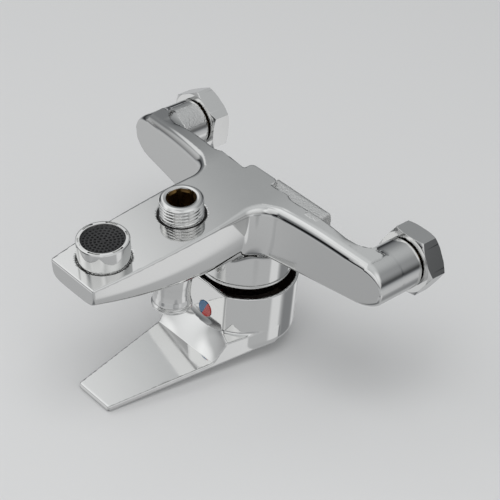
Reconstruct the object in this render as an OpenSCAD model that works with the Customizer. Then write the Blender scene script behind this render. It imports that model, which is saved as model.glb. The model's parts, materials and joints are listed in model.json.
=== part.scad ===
// Wall-mounted single-lever bath and shower mixer tap, in the position of use:
// +Z up, -Y out from the wall, the wall's inlet faces in the plane Y = 0.
// The origin lies midway between the two inlet axes.

/* [Inlets] */
// Distance between the two inlet axes
inlet_centres = 150; // [140:1:170]
// Outer diameter of the inlet legs
leg_d = 25; // [24:0.5:27]
// Width across the flats of the union nuts
nut_af = 30; // [30:0.5:34]
// Length of a union nut
nut_len = 10.5; // [10:0.5:14]
// Minor diameter of the union nut's G3/4 thread
nut_bore_d = 24.12; // [24:0.02:24.6]
// Thickness of the nut's front wall
nut_wall = 2.5; // [2:0.1:3]
// Distance between the nut's front face and the end of the leg
nut_gap = 0.8; // [0.6:0.1:3]
// Outer diameter of the threaded inlet tails
tail_d = 19; // [17:0.2:20]
// Water bore of the inlet tails
tail_bore_d = 14; // [10:0.2:15]

/* [Spout] */
// Angle by which the flat underside rises towards the tip
spout_rise = 6.5; // [0:0.5:10]
// Depth of the flat underside below the inlet axes, at the cartridge axis
deck_drop = 20.2; // [18:0.2:24]
// Length of the spout from the cartridge axis, along the underside
spout_len = 108; // [104:1:130]
// Width of the spout at its tip
tip_w = 30.6; // [28:0.2:34]
// Height of the spout at its tip
tip_h = 10.8; // [9:0.2:13]
// Width of the spout where it leaves the body
root_w = 40; // [38:0.5:42]
// Height of the body under the cartridge
root_h = 32; // [30:0.5:34]
// Radius of the inner corners between spout and arms
arm_fillet = 9; // [8:0.5:11]

/* [Arms] */
// Depth of an arm where it meets its leg
arm_d = 12; // [11:0.5:14]
// Height of an arm's top above the inlet axes
arm_top_z = 11.8; // [10:0.2:12]
// Angle by which the arms are swept back to the wall
arm_sweep = 11; // [9:0.5:13]

/* [Cartridge] */
// Distance of the cartridge axis from the wall
axis_out = 40.1; // [40:0.1:50]
// Height of the chamber floor above the inlet axes
floor_z = 4; // [2:0.5:6]
// Diameter of the cartridge
cart_d = 34.8; // [34:0.2:36]
// Outer diameter of the cartridge chamber
boss_d = 47; // [46:0.5:50]
// Height of the chamber's rim above the inlet axes
boss_top = 29.7; // [29:0.1:31]
// Height of the lever's pivot above the inlet axes
pivot_z = 30; // [29:0.5:31]
// Thickness of the fixed ceramic disc
fixed_disc_t = 3; // [2:0.2:4]
// Thickness of the moving ceramic disc
moving_disc_t = 3.4; // [2.4:0.2:4]
// Width of the stem's square
stem_w = 8; // [7:0.2:9]
// Outer radius of the cover dome about the pivot
dome_r = 21.5; // [21:0.1:22]
// Thickness of the cover dome
dome_t = 1.6; // [1:0.1:2]

/* [Handle] */
// Outer diameter of the handle's skirt
skirt_d = 55; // [54:0.5:58]
// Wall thickness of the skirt
skirt_t = 1.6; // [1.2:0.1:2]
// Height of the skirt's lower rim above the inlet axes
skirt_z = 34.7; // [34:0.1:38]
// Height of the handle's top above the inlet axes, at the cartridge axis
handle_top = 66.5; // [66:0.5:72]
// Reach of the lever from the cartridge axis
lever_len = 92.5; // [80:0.5:110]
// Width of the lever at its tip
lever_tip_w = 22.6; // [18:0.2:26]
// Thickness of the lever's blade
lever_t = 3; // [2.4:0.1:4]
// Angle by which the lever rises towards its tip
lever_rise = 4.5; // [0:0.5:8]
// Distance of the front facet from the cartridge axis
facet_out = 24; // [23.6:0.1:25]
// Distance of the crease under the blade from the cartridge axis
crease_out = 35.5; // [33:0.5:40]
// Height of the index plug and the set screw
plug_z = 50; // [49:0.5:52]
// Diameter of the index plug
plug_d = 8.5; // [7:0.1:9]

/* [Diverter] */
// Distance of the diverter axis from the wall
diverter_out = 86.6; // [86:0.1:92]
// Diameter of the diverter knob
knob_d = 20; // [19:0.2:21]
// Height of the knob's top above the inlet axes
knob_top = 37.1; // [36:0.1:38]
// Diameter of the diverter stem
div_stem_d = 5; // [4:0.1:6]
// Travel of the diverter
div_travel = 6; // [5:0.5:6.5]

/* [Outlets] */
// Distance of the shower outlet from the cartridge axis, along the underside
nipple_out = 44; // [42:0.5:46]
// Outer diameter of the shower outlet's G1/2 thread
nipple_d = 20.955; // [20.8:0.005:21]
// Height of the shower outlet below the underside
nipple_h = 9.6; // [9:0.1:14]
// Width across the flats of the shower outlet's hexagonal socket
socket_af = 12; // [10:0.5:13]
// Distance of the aerator from the cartridge axis, along the underside
aerator_out = 89.6; // [86:0.2:92]
// Diameter of the aerator housing
aerator_d = 24.6; // [24:0.1:25]
// Height of the aerator housing below the underside
aerator_h = 10.8; // [9:0.1:14]

/* [Fits] */
// Radial clearance of a running fit
run_gap = 0.08; // [0.05:0.01:0.1]
// Clearance between parts that move past each other
free_gap = 0.3; // [0.3:0.05:0.5]
// Radial clearance of a screwed or pushed-in part
seat_gap = 0.05; // [0.02:0.01:0.1]

/* [Hidden] */
$fn = 64;
eps = 0.01;
through = 60;
fixed_disc_d = 30.4;
axis_y = -axis_out;
deck_z = -deck_drop;
leg_x = inlet_centres / 2;
leg_end_y = -(nut_len + nut_gap);
arm_front = -8.4;
arm_root_x = 40;
corner_x = root_w / 2 + arm_fillet - 0.4;
corner_y = arm_front + (corner_x - arm_root_x) * tan(arm_sweep) - (arm_fillet - 0.4) / cos(arm_sweep);
corner_h = 21;
root_sweep = 7.4;
arm_rear = -3.3;
arm_back = 6;
arm_end_y = axis_y + arm_front + (leg_x - arm_root_x) * tan(arm_sweep) + arm_d / 2;
way_d = 6;
cross_way_d = 6.5;
way_z = -5;
way_bend_x = 24;
way_bend_y = axis_y - 6.3;
run_on = 2;
tail_depth = 12;
nut_thread = 3.4;
nut_relief = 0.5;
flange_t = 2.3;
flange_d = nut_bore_d - 2 * free_gap;
washer_t = 2;
chamber_d = cart_d + 2 * seat_gap;
cone_foot = deck_z + 5;
cone_foot_r = 17;
seal_t = 1;
base_t = 3;
base_z = floor_z + seal_t;
fixed_z = base_z + base_t;
moving_z = fixed_z + fixed_disc_t + 0.02;
carrier_z = moving_z + moving_disc_t;
carrier_t = 4.4;
rotor_z = carrier_z + carrier_t + free_gap;
shoulder_z = floor_z + 18;
rotor_step_z = pivot_z + 2;
housing_top = pivot_z + 5;
rotor_d = 27.4;
rotor_neck_d = 21.8;
neck_d = 29.6;
disc_d = 22;
disc_rest = 2.2;
clamp_od = chamber_d + 4;
clamp_top = boss_top + 0.8;
stem_top = plug_z + 4.5;
stem_foot_z = carrier_z + 1.8;
socket_foot = pivot_z + 16;
socket_d = 17;
roof_z = plug_z + 9.5;
set_screw_d = 5;
facet_top = plug_z + 9;
facet_arc_r = 26;
facet_y = axis_y - facet_out;
crease_y = axis_y - crease_out;
tip_y = axis_y - lever_len;
diverter_y = -diverter_out;
div_seat_z = -6;
bonnet_d = 15.2;
spring_wire = 0.8;
spring_r = 5.2;
spring_turns = 4;
tail_key_af = 14.7;
nipple_neck_d = 19.2;
nipple_spigot_d = 17;
nipple_spigot_h = 6;
nipple_seal_d = 22.8;
nipple_seal_t = 1;
bonnet_top = knob_top - 11;
knob_foot = knob_top - 20;
knob_wall = 1.7;
knob_roof = 2.4;
valve_d = 12;
valve_t = 3;
div_bore_d = 16;
bonnet_foot = 9;
port_x = 7.5;
port_y = 5;
port_d = 7;

// Places its children in the frame of the underside: origin below the cartridge, Z into the body
module on_deck(out = 0) {
    translate([0, axis_y, deck_z])
        rotate([-spout_rise, 0, 0])
            translate([0, -out, 0])
                children();
}

// A tube along +Z
module tube(od, id, h) {
    difference() {
        cylinder(d = od, h = h);
        translate([0, 0, -eps])
            cylinder(d = id, h = h + 2 * eps);
    }
}

// One spout section: a flat side at Z = 0 and a crowned back
function d_section(w, h, n) = [
    for (i = [0:32])
        let (a = 180 * i / 32, c = cos(a), s = sin(a))
        [sign(c) * w / 2 * pow(abs(c), 2 / n), h * pow(s, 2 / n)]
];

module spout_slab(out, w, h, n) {
    translate([0, -out, 0])
        rotate([90, 0, 0])
            linear_extrude(height = eps)
                polygon(d_section(w, h, n));
}

// The crowned spout, as two lofts that widen and deepen towards the body
module spout_form() {
    on_deck() {
        hull() {
            spout_slab(spout_len, tip_w, tip_h, 5);
            spout_slab(spout_len * 0.74, (tip_w + 2 * root_w) / 3 - 0.6, tip_h + (root_h - tip_h) * 0.5, 4.4);
        }
        hull() {
            spout_slab(spout_len * 0.74, (tip_w + 2 * root_w) / 3 - 0.6, tip_h + (root_h - tip_h) * 0.5, 4.4);
            spout_slab(nipple_out, root_w - 0.5, root_h - 1.5, 4);
        }
        hull() {
            spout_slab(nipple_out, root_w - 0.5, root_h - 1.5, 4);
            spout_slab(2, root_w, root_h, 4);
        }
    }
}

// Rounded corner between spout and arm, for one side
module arm_corner() {
    on_deck()
        linear_extrude(height = corner_h)
            difference() {
                translate([root_w / 2 - 4, corner_y])
                    square([corner_x - arm_fillet * sin(arm_sweep) - root_w / 2 + 4, arm_fillet + 5]);
                translate([corner_x, corner_y])
                    circle(r = arm_fillet);
            }
}

// Plan of an arm's root: front and rear both sweep back; set_back moves the front toward the rear
function root_plan(from, set_back) =
    let (front = function (x) axis_y + arm_front + set_back + (x - arm_root_x) * tan(arm_sweep),
         rear = function (x) axis_y + arm_rear + x * tan(root_sweep))
    [[from, front(from)], [arm_root_x, front(arm_root_x)], [arm_root_x, rear(arm_root_x)], [from, rear(from)]];

module level_plate(z, from, set_back) {
    translate([0, 0, z - 0.5])
        linear_extrude(height = 0.5)
            polygon(root_plan(from, set_back));
}

// Thin plates of the arm's plan: in the plane of the underside, at mid height and at the top
module root_plates(from) {
    translate([0, axis_y, deck_z])
        rotate([-spout_rise, 0, 0])
            linear_extrude(height = 0.5)
                translate([0, -axis_y])
                    polygon(root_plan(from, 0));
    level_plate(arm_top_z - 8, from, 0);
    level_plate(arm_top_z, from, arm_back);
}

// One swept arm, ending in a rounded bar in front of its leg
module arm_form() {
    hull()
        root_plates(0);
    hull() {
        root_plates(arm_root_x - 1);
        translate([leg_x, arm_end_y, 0])
            rotate([90, 0, arm_sweep])
                translate([0, 0, -arm_d / 2])
                    cylinder(d = leg_d - 0.6, h = arm_d, $fn = 32);
    }
}

module leg_form() {
    translate([leg_x, arm_end_y - 2, 0])
        rotate([-90, 0, 0])
            cylinder(d = leg_d, h = leg_end_y - arm_end_y + 2);
}

// Cartridge chamber: a straight boss on a cone that springs from the deck, turned as one profile
module boss_form() {
    r = boss_d / 2;
    cone_top = floor_z - 12;
    translate([0, axis_y, 0])
        rotate_extrude()
            polygon([[0, cone_foot], [cone_foot_r, cone_foot], [r, cone_top], [r, boss_top], [0, boss_top]]);
}

// As-cast foundry marks at the rear edge: a rounded lug and a feeder ledge
module rear_marks() {
    on_deck() {
        translate([-2, 2.2, 0])
            linear_extrude(height = 12)
                union() {
                    translate([-8.5, -6])
                        square([17, 8]);
                    translate([-5.5, 0])
                        square([11, 4.2]);
                    translate([-5.5, 1.6])
                        circle(r = 2.6);
                    translate([5.5, 1.6])
                        circle(r = 2.6);
                }
        translate([-44, -6, 2.6])
            cube([36, 15.4, 13]);
    }
}

// Water ways of the casting
module water_ways() {
    // Cartridge chamber with the clamp nut's thread
    translate([0, axis_y, floor_z])
        cylinder(d = chamber_d, h = boss_top);
    translate([0, axis_y, shoulder_z])
        cylinder(d = clamp_od + 2 * seat_gap, h = boss_top);
    // Hot and cold ways
    for (side = [-1, 1]) {
        translate([side * leg_x, 0, 0])
            rotate([90, 0, 0]) {
                cylinder(d = tail_d + 2 * seat_gap, h = -leg_end_y + tail_depth + 1);
                cylinder(d = tail_bore_d, h = -arm_end_y + 3);
            }
        hot_cold_way(side);
        translate([side * port_x, axis_y + port_y, -7])
            cylinder(d = port_d, h = floor_z + 8);
    }
    // Mixed water to the diverter
    translate([0, axis_y - port_y - 3, -7])
        cylinder(d = port_d, h = floor_z + 8);
    translate([0, axis_y, -3.5])
        rotate([90, 0, 0])
            translate([0, 0, port_y])
                cylinder(d = 7.4, h = diverter_out - axis_out - port_y);
    // Diverter chamber, its seat and the bonnet's thread
    translate([0, diverter_y, div_seat_z])
        cylinder(d = div_bore_d, h = through);
    translate([0, diverter_y, div_seat_z - 3])
        cylinder(d = 8, h = 4);
    // From the diverter to the aerator
    on_deck(aerator_out)
        translate([0, 0, 9.5])
            rotate([-90, 0, 0])
                cylinder(d = 7, h = aerator_out - nipple_out - 6);
    // Aerator thread and seat
    on_deck(aerator_out) {
        translate([0, 0, -eps])
            cylinder(d = 20 + 2 * seat_gap, h = 8 + seat_gap);
        cylinder(d = 15, h = 11);
        translate([0, 0, -1])
            cylinder(d = aerator_d + 1, h = 2);
    }
    // Shower outlet thread and seal seat
    on_deck(nipple_out) {
        translate([0, 0, -eps])
            cylinder(d = nipple_spigot_d + 2 * seat_gap, h = nipple_spigot_h + 0.4);
        cylinder(d = 11, h = 8.5);
        translate([0, 0, -1])
            tube(nipple_seal_d + 2 * seat_gap, nipple_seal_d - 1.2 - 2 * seat_gap, nipple_seal_t + 1);
    }
}

// Way inside one arm: one bore from the leg along the arm, and a cross bore to the cartridge
module hot_cold_way(side) {
    bend = [side * way_bend_x, way_bend_y, way_z];
    straight_way([side * (leg_x - 1), arm_end_y - 1, -1], bend, way_d);
    straight_way([side * port_x, axis_y + port_y, way_z], bend, cross_way_d);
}

// A round bore that runs on a little beyond its end
module straight_way(from, to, d) {
    v = to - from;
    translate(from)
        rotate([0, acos(v[2] / norm(v)), atan2(v[1], v[0])])
            cylinder(d = d, h = norm(v) + run_on);
}

module body_casting() {
    color("silver")
        difference() {
            union() {
                spout_form();
                for (side = [0, 1])
                    mirror([side, 0, 0]) {
                        arm_form();
                        leg_form();
                        arm_corner();
                    }
                boss_form();
                rear_marks();
            }
            water_ways();
        }
}

// Threaded tail that holds a union nut on its leg, for the side at +X
module inlet_tail() {
    translate([leg_x, 0, 0])
        rotate([90, 0, 0])
            difference() {
                union() {
                    translate([0, 0, nut_len - nut_wall - flange_t - 0.1])
                        cylinder(d = flange_d, h = flange_t);
                    translate([0, 0, nut_len - nut_wall - 0.1])
                        cylinder(d = tail_d, h = nut_wall + nut_gap + tail_depth);
                }
                cylinder(d = tail_bore_d, h = through);
                translate([0, 0, -eps])
                    cylinder(d = tail_key_af / cos(30), h = nut_len - nut_wall - 0.1 - flange_t / 2, $fn = 6);
            }
}

module inlet_tail_left() {
    color("goldenrod")
        mirror([1, 0, 0])
            inlet_tail();
}

module inlet_tail_right() {
    color("goldenrod")
        inlet_tail();
}

// Hexagon nut with chamfered corners and a front wall that bears on the tail's flange
module union_nut(turned) {
    rotate([90, 0, 0])
        difference() {
            intersection() {
                rotate([0, 0, turned])
                    cylinder(d = nut_af / cos(30), h = nut_len, $fn = 6);
                cylinder(d1 = nut_af * 1.02, d2 = nut_af * 1.02 + 2 * nut_len / tan(30), h = nut_len);
                cylinder(d1 = nut_af * 1.02 + 2 * nut_len / tan(30), d2 = nut_af * 1.02, h = nut_len);
            }
            translate([0, 0, -eps])
                cylinder(d = nut_bore_d, h = nut_thread + 2 * eps);
            // Relief behind the thread, where the tail's flange and the washer sit
            translate([0, 0, nut_thread])
                cylinder(d = nut_bore_d + 2 * nut_relief, h = nut_len - nut_wall - nut_thread);
            cylinder(d = tail_d + 2 * free_gap, h = nut_len + eps);
        }
}

module union_nut_left() {
    color("silver")
        translate([-leg_x, 0, 0])
            union_nut(0);
}

module union_nut_right() {
    color("silver")
        translate([leg_x, 0, 0])
            union_nut(30);
}

module inlet_washers() {
    color("black")
        for (side = [-1, 1])
            translate([side * leg_x, 0, 0])
                rotate([90, 0, 0])
                    translate([0, 0, nut_len - nut_wall - flange_t - 0.1 - washer_t])
                        tube(flange_d, tail_bore_d + 1, washer_t);
}

// The cartridge's three water ports, as cylinders through its lower pieces
module ports(z, h, d) {
    for (side = [-1, 1])
        translate([side * port_x, axis_y + port_y, z])
            cylinder(d = d, h = h);
    translate([0, axis_y - port_y - 3, z])
        cylinder(d = d, h = h);
}

module cartridge_seals() {
    color("black")
        difference() {
            ports(floor_z, seal_t, port_d + 2.6);
            ports(floor_z - eps, seal_t + 2 * eps, port_d + 0.4);
        }
}

module cartridge_base() {
    color("white")
        difference() {
            translate([0, axis_y, base_z])
                cylinder(d = cart_d, h = base_t);
            ports(base_z - eps, base_t + 2 * eps, port_d);
        }
}

module fixed_disc() {
    color("ivory")
        difference() {
            translate([0, axis_y, fixed_z])
                cylinder(d = fixed_disc_d, h = fixed_disc_t);
            ports(fixed_z - eps, fixed_disc_t + 2 * eps, port_d - 1);
        }
}

module moving_disc() {
    color("ivory")
        translate([0, axis_y + disc_rest, moving_z])
            difference() {
                cylinder(d = disc_d, h = moving_disc_t);
                translate([0, -1, -eps])
                    cylinder(d = 12, h = moving_disc_t / 2);
            }
}

module disc_carrier() {
    color("white")
        translate([0, axis_y + disc_rest, carrier_z])
            difference() {
                cylinder(d = disc_d + 1, h = carrier_t);
                translate([0, -disc_rest, 1])
                    cylinder(d = stem_w - 1.4 + 2 * free_gap, h = carrier_t);
            }
}

// Rotor that turns with the lever and carries the stem's pin
module stem_holder() {
    color("white")
        translate([0, axis_y, 0])
            difference() {
                union() {
                    translate([0, 0, rotor_z])
                        cylinder(d = rotor_d, h = rotor_step_z - rotor_z);
                    translate([0, 0, rotor_z])
                        cylinder(d = rotor_neck_d, h = housing_top - rotor_z);
                }
                translate([-stem_w / 2 - free_gap, -9, rotor_z - eps])
                    cube([stem_w + 2 * free_gap, 16.2, 40]);
                translate([0, 0, pivot_z])
                    rotate([0, 90, 0])
                        cylinder(d = 3 + 2 * seat_gap, h = 40, center = true);
            }
}

module stem_pin() {
    color("silver")
        translate([0, axis_y, pivot_z])
            rotate([0, 90, 0])
                cylinder(d = 3, h = rotor_d - 2, center = true);
}

module lever_stem() {
    color("silver")
        translate([0, axis_y, 0])
            difference() {
                union() {
                    translate([-stem_w / 2, -stem_w / 2, pivot_z - 5])
                        cube([stem_w, stem_w, stem_top - pivot_z + 5]);
                    translate([0, 0, stem_foot_z])
                        cylinder(d = stem_w - 3, h = pivot_z - stem_foot_z);
                    translate([0, 0, stem_foot_z])
                        cylinder(d = stem_w - 1.6, h = 2.2);
                }
                translate([0, 0, pivot_z])
                    rotate([0, 90, 0])
                        cylinder(d = 3 + 2 * run_gap, h = 40, center = true);
            }
}

module cartridge_housing() {
    color("dimgray")
        translate([0, axis_y, 0])
            difference() {
                union() {
                    translate([0, 0, fixed_z])
                        cylinder(d = cart_d, h = shoulder_z - fixed_z);
                    translate([0, 0, fixed_z])
                        cylinder(d = neck_d, h = housing_top - fixed_z);
                }
                translate([0, 0, fixed_z - eps])
                    cylinder(d = fixed_disc_d + 2 * seat_gap, h = carrier_z + carrier_t + free_gap - fixed_z);
                translate([0, 0, fixed_z])
                    cylinder(d = rotor_d + 2 * run_gap, h = rotor_step_z + 0.1 - fixed_z);
                translate([0, 0, fixed_z])
                    cylinder(d = rotor_neck_d + 2 * free_gap, h = through);
            }
}

module clamp_nut() {
    color("goldenrod")
        translate([0, axis_y, shoulder_z])
            difference() {
                cylinder(d = clamp_od, h = clamp_top - shoulder_z);
                translate([0, 0, -eps])
                    cylinder(d = neck_d + 2 * seat_gap, h = through);
                for (a = [0:60:300])
                    rotate([0, 0, a])
                        translate([clamp_od / 2 - 1.6, -2, clamp_top - shoulder_z - 3])
                            cube([4, 4, 4]);
            }
}

module cover_dome() {
    color("silver")
        translate([0, axis_y, 0])
            difference() {
                union() {
                    translate([0, 0, boss_top])
                        cylinder(d = boss_d, h = 1.5);
                    intersection() {
                        translate([0, 0, pivot_z])
                            sphere(r = dome_r);
                        translate([0, 0, boss_top])
                            cylinder(d = boss_d, h = pivot_z + 11 - boss_top);
                    }
                }
                intersection() {
                    translate([0, 0, pivot_z])
                        sphere(r = dome_r - dome_t);
                    translate([0, 0, boss_top - 1])
                        cylinder(d = boss_d, h = pivot_z + 11 - dome_t - boss_top + 1);
                }
                cylinder(d = 23, h = 2 * through);
            }
}

// Plan of the blade: it leaves the skirt's widest part and narrows to the tip
module blade_plan() {
    shoulder = skirt_d / 2 - 1;
    half = lever_tip_w / 2;
    translate([0, axis_y])
        polygon([[shoulder, 0], [half, -lever_len], [-half, -lever_len], [-shoulder, 0]]);
}

// Side view of the blade and its sloping root
module blade_profile() {
    drop = lever_t / cos(lever_rise);
    top = function (y) handle_top - 0.6 + (axis_y - y) * tan(lever_rise);
    crease_z = top(crease_y) - drop;
    polygon([
        [axis_y, top(axis_y)], [tip_y, top(tip_y)], [tip_y, top(tip_y) - drop * 0.75],
        [crease_y, crease_z], [facet_y, facet_top - 3], [axis_y, facet_top - 3]
    ]);
}

module handle() {
    r = skirt_d / 2;
    edge = 5;
    color("silver")
        difference() {
            union() {
                // Skirt with a rounded top edge
                translate([0, axis_y, 0])
                    rotate_extrude()
                        polygon(concat(
                            [[0, skirt_z], [r, skirt_z]],
                            [for (i = [0:6]) [r - edge + edge * cos(15 * i), handle_top - edge + edge * sin(15 * i)]],
                            [[0, handle_top]]
                        ));
                // Blade and root
                intersection() {
                    linear_extrude(height = 100)
                        blade_plan();
                    rotate([90, 0, 90])
                        translate([0, 0, -skirt_d])
                            linear_extrude(height = 2 * skirt_d)
                                blade_profile();
                }
            }
            // Flat front facet with an arched upper end
            translate([0, facet_y, 0])
                rotate([90, 0, 0])
                    linear_extrude(height = 20)
                        intersection() {
                            translate([0, facet_top - facet_arc_r])
                                circle(r = facet_arc_r);
                            translate([-20, skirt_z - 5])
                                square([40, 60]);
                        }
            // Inside of the skirt, flattened behind the facet
            translate([0, axis_y, 0])
                difference() {
                    intersection() {
                        cylinder(r = r - skirt_t, h = roof_z);
                        translate([-r, -facet_out + skirt_t, 0])
                            cube([2 * r, 2 * r, roof_z]);
                    }
                    translate([0, 0, socket_foot])
                        cylinder(d = socket_d, h = through);
                }
            translate([0, axis_y, 0])
                translate([-stem_w / 2 - 0.1, -stem_w / 2 - 0.1, 0])
                    cube([stem_w + 0.2, stem_w + 0.2, stem_top + 0.5]);
            // Set screw's thread, key access and plug seat
            translate([0, axis_y, plug_z])
                rotate([90, 0, 0])
                    cylinder(d = set_screw_d + 2 * seat_gap, h = socket_d);
            translate([0, facet_y + 5, plug_z])
                rotate([90, 0, 0])
                    cylinder(d = 6, h = 8);
            translate([0, facet_y + 0.8, plug_z])
                rotate([90, 0, 0])
                    cylinder(d = plug_d + 2 * seat_gap, h = 8);
        }
}

module set_screw() {
    color("dimgray")
        translate([0, axis_y - stem_w / 2 - 0.1, plug_z])
            rotate([90, 0, 0])
                difference() {
                    cylinder(d = set_screw_d, h = socket_d / 2 - stem_w / 2);
                    translate([0, 0, 2])
                        cylinder(d = 2.5 / cos(30), h = 6, $fn = 6);
                }
}

module index_plug() {
    color("red")
        translate([0, facet_y + 0.8, plug_z])
            rotate([90, 0, 0])
                union() {
                    cylinder(d = plug_d, h = 1.2);
                    translate([0, 0, -1.4])
                        cylinder(d = 6 - 2 * seat_gap, h = 2);
                }
}

module diverter_knob() {
    r = knob_d / 2;
    color("silver")
        translate([0, diverter_y, 0])
            rotate_extrude()
                difference() {
                    polygon([
                        [0, knob_top], [r - 1.2, knob_top], [r - 0.3, knob_top - 0.6], [r, knob_top - 1.6],
                        [r - 0.4, knob_top - 2.6], [r - 1, knob_top - 3], [r - 1, knob_top - 3.6],
                        [r - 0.6, knob_top - 4], [r - 0.7, knob_top - 5], [r - 1.1, knob_top - 7],
                        [r - 1.2, knob_top - 10], [r - 1, knob_top - 14], [r - 0.5, knob_foot],
                        [r - 0.5 - knob_wall, knob_foot], [r - 1.2 - knob_wall, knob_top - 10],
                        [r - 1.2 - knob_wall, knob_top - knob_roof - 1], [div_stem_d / 2 + 2, knob_top - knob_roof - 1],
                        [div_stem_d / 2 + 2, knob_top - 8], [0, knob_top - 8]
                    ]);
                    translate([0, knob_top - 9])
                        square([div_stem_d / 2 + seat_gap, 6]);
                }
}

module diverter_stem() {
    color("goldenrod")
        translate([0, diverter_y, div_seat_z + 1])
            cylinder(d = div_stem_d, h = knob_top - 3.2 - div_seat_z - 1);
}

module diverter_valve() {
    color("goldenrod")
        translate([0, diverter_y, div_seat_z + 1.8])
            difference() {
                union() {
                    cylinder(d = valve_d, h = valve_t);
                    cylinder(d = 9, h = valve_t + 1.4);
                }
                translate([0, 0, -eps])
                    cylinder(d = div_stem_d + 2 * seat_gap, h = 10);
            }
}

module diverter_seal() {
    color("black")
        translate([0, diverter_y, div_seat_z + 0.1])
            tube(valve_d, div_stem_d + 2 * seat_gap, 1.7);
}

// Coil spring between valve and bonnet
module diverter_spring() {
    z0 = div_seat_z + 1.8 + valve_t + 0.05 + spring_wire / 2;
    pitch = (bonnet_foot - 0.05 - spring_wire / 2 - z0) / (spring_turns - 1);
    color("gray")
        translate([0, diverter_y, z0]) {
            for (i = [0:spring_turns - 1])
                translate([0, 0, pitch * i])
                    rotate_extrude()
                        translate([spring_r, 0])
                            circle(d = spring_wire, $fn = 24);
            // Slanted wires from coil to coil, on alternate sides
            for (i = [0:spring_turns - 2])
                rotate([0, 0, 180 * i])
                    translate([spring_r - 0.1, 0, pitch * (i + 0.5)])
                        rotate([atan2(3, pitch), 0, 0])
                            cylinder(d = spring_wire - 0.06, h = norm([3, pitch]), center = true);
        }
}

module diverter_bonnet() {
    color("goldenrod")
        translate([0, diverter_y, 0])
            difference() {
                union() {
                    translate([0, 0, bonnet_foot])
                        cylinder(d = div_bore_d - 2 * seat_gap, h = 6);
                    translate([0, 0, bonnet_foot])
                        cylinder(d = bonnet_d - 2, h = bonnet_top - bonnet_foot);
                }
                translate([0, 0, bonnet_foot - eps])
                    cylinder(d = div_stem_d + 2 * run_gap, h = through);
                translate([0, 0, bonnet_top - 2.5])
                    cylinder(d = 9, h = 4);
            }
}

module bonnet_seal() {
    color("black")
        translate([0, diverter_y, bonnet_top - 2.4])
            tube(8.8, div_stem_d + 2 * run_gap, 2);
}

// Hose connector with a hexagonal key socket
module shower_nipple() {
    color("silver")
        on_deck(nipple_out)
            difference() {
                union() {
                    translate([0, 0, -nipple_h])
                        cylinder(d1 = nipple_d - 2, d2 = nipple_d, h = 1);
                    translate([0, 0, 1 - nipple_h])
                        cylinder(d = nipple_d, h = nipple_h - 3);
                    translate([0, 0, -2 - eps])
                        cylinder(d = nipple_neck_d, h = 2 + eps);
                    translate([0, 0, -1])
                        cylinder(d = nipple_spigot_d, h = nipple_spigot_h + 1);
                }
                translate([0, 0, -nipple_h - eps])
                    cylinder(d1 = 15.5, d2 = 10, h = 2.6);
                translate([0, 0, -nipple_h - eps])
                    cylinder(d = socket_af / cos(30), h = nipple_h + 4, $fn = 6);
                translate([0, 0, -nipple_h])
                    cylinder(d = 10, h = nipple_h + 12);
            }
}

module nipple_seal() {
    color("black")
        on_deck(nipple_out)
            tube(nipple_seal_d, nipple_seal_d - 1.2, nipple_seal_t);
}

// Aerator housing: an outer sleeve with a threaded spigot
module aerator_housing() {
    color("silver")
        on_deck(aerator_out)
            difference() {
                union() {
                    translate([0, 0, -aerator_h])
                        cylinder(d1 = aerator_d - 0.8, d2 = aerator_d, h = 0.6);
                    translate([0, 0, 0.6 - aerator_h])
                        cylinder(d = aerator_d, h = aerator_h + 0.3);
                    cylinder(d = 20, h = 6.5);
                }
                translate([0, 0, -aerator_h - eps])
                    cylinder(d = 20.4, h = aerator_h - 1);
                translate([0, 0, -2])
                    cylinder(d = 16, h = 20);
                for (a = [0:60:300])
                    rotate([0, 0, a])
                        rotate([0, 0, -14])
                            translate([0, 0, -aerator_h - eps])
                                rotate_extrude(angle = 28)
                                    translate([10.75, 0])
                                        square([0.75, 1.2]);
            }
}

module aerator_insert() {
    color("dimgray")
        on_deck(aerator_out)
            difference() {
                translate([0, 0, -aerator_h + 1.2])
                    cylinder(d = 20.3, h = aerator_h - 2.3);
                translate([0, 0, -aerator_h + 1.2 - eps])
                    for (r = [2.4, 4.4, 6.4, 8.4])
                        rotate_extrude()
                            translate([r - 0.45, 0])
                                square([0.9, 0.8]);
                translate([0, 0, -4])
                    cylinder(d = 15, h = 8);
            }
}

module aerator_mesh() {
    color("gray")
        on_deck(aerator_out)
            translate([0, 0, -4])
                cylinder(d = 14.9, h = 0.6);
}

module aerator_washer() {
    color("black")
        on_deck(aerator_out)
            translate([0, 0, 6.5])
                tube(20, 15.4, 1.5);
}

body_casting();
inlet_tail_left();
inlet_tail_right();
union_nut_left();
union_nut_right();
inlet_washers();
cartridge_seals();
cartridge_base();
fixed_disc();
moving_disc();
disc_carrier();
stem_holder();
stem_pin();
lever_stem();
cartridge_housing();
clamp_nut();
cover_dome();
handle();
set_screw();
index_plug();
diverter_knob();
diverter_stem();
diverter_valve();
diverter_seal();
diverter_spring();
diverter_bonnet();
bonnet_seal();
shower_nipple();
nipple_seal();
aerator_housing();
aerator_insert();
aerator_mesh();
aerator_washer();
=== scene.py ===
"""Look scene of the wall-mounted bath and shower mixer tap.

The exact model is the frame. The two castings and the turned parts, whose facets polished chrome would show,
are built again here as fine meshes over the same sizes, and every part gets a procedural finish. Sizes are in
millimetres until a mesh is made; the frame and Blender are in metres.
"""

import functools
import itertools
import json
import logging
import math
from dataclasses import dataclass
from enum import Enum
from typing import Any, Callable, Mapping, Optional, Sequence, Union

import bpy
import numpy as np
from mathutils import Matrix, Vector

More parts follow.
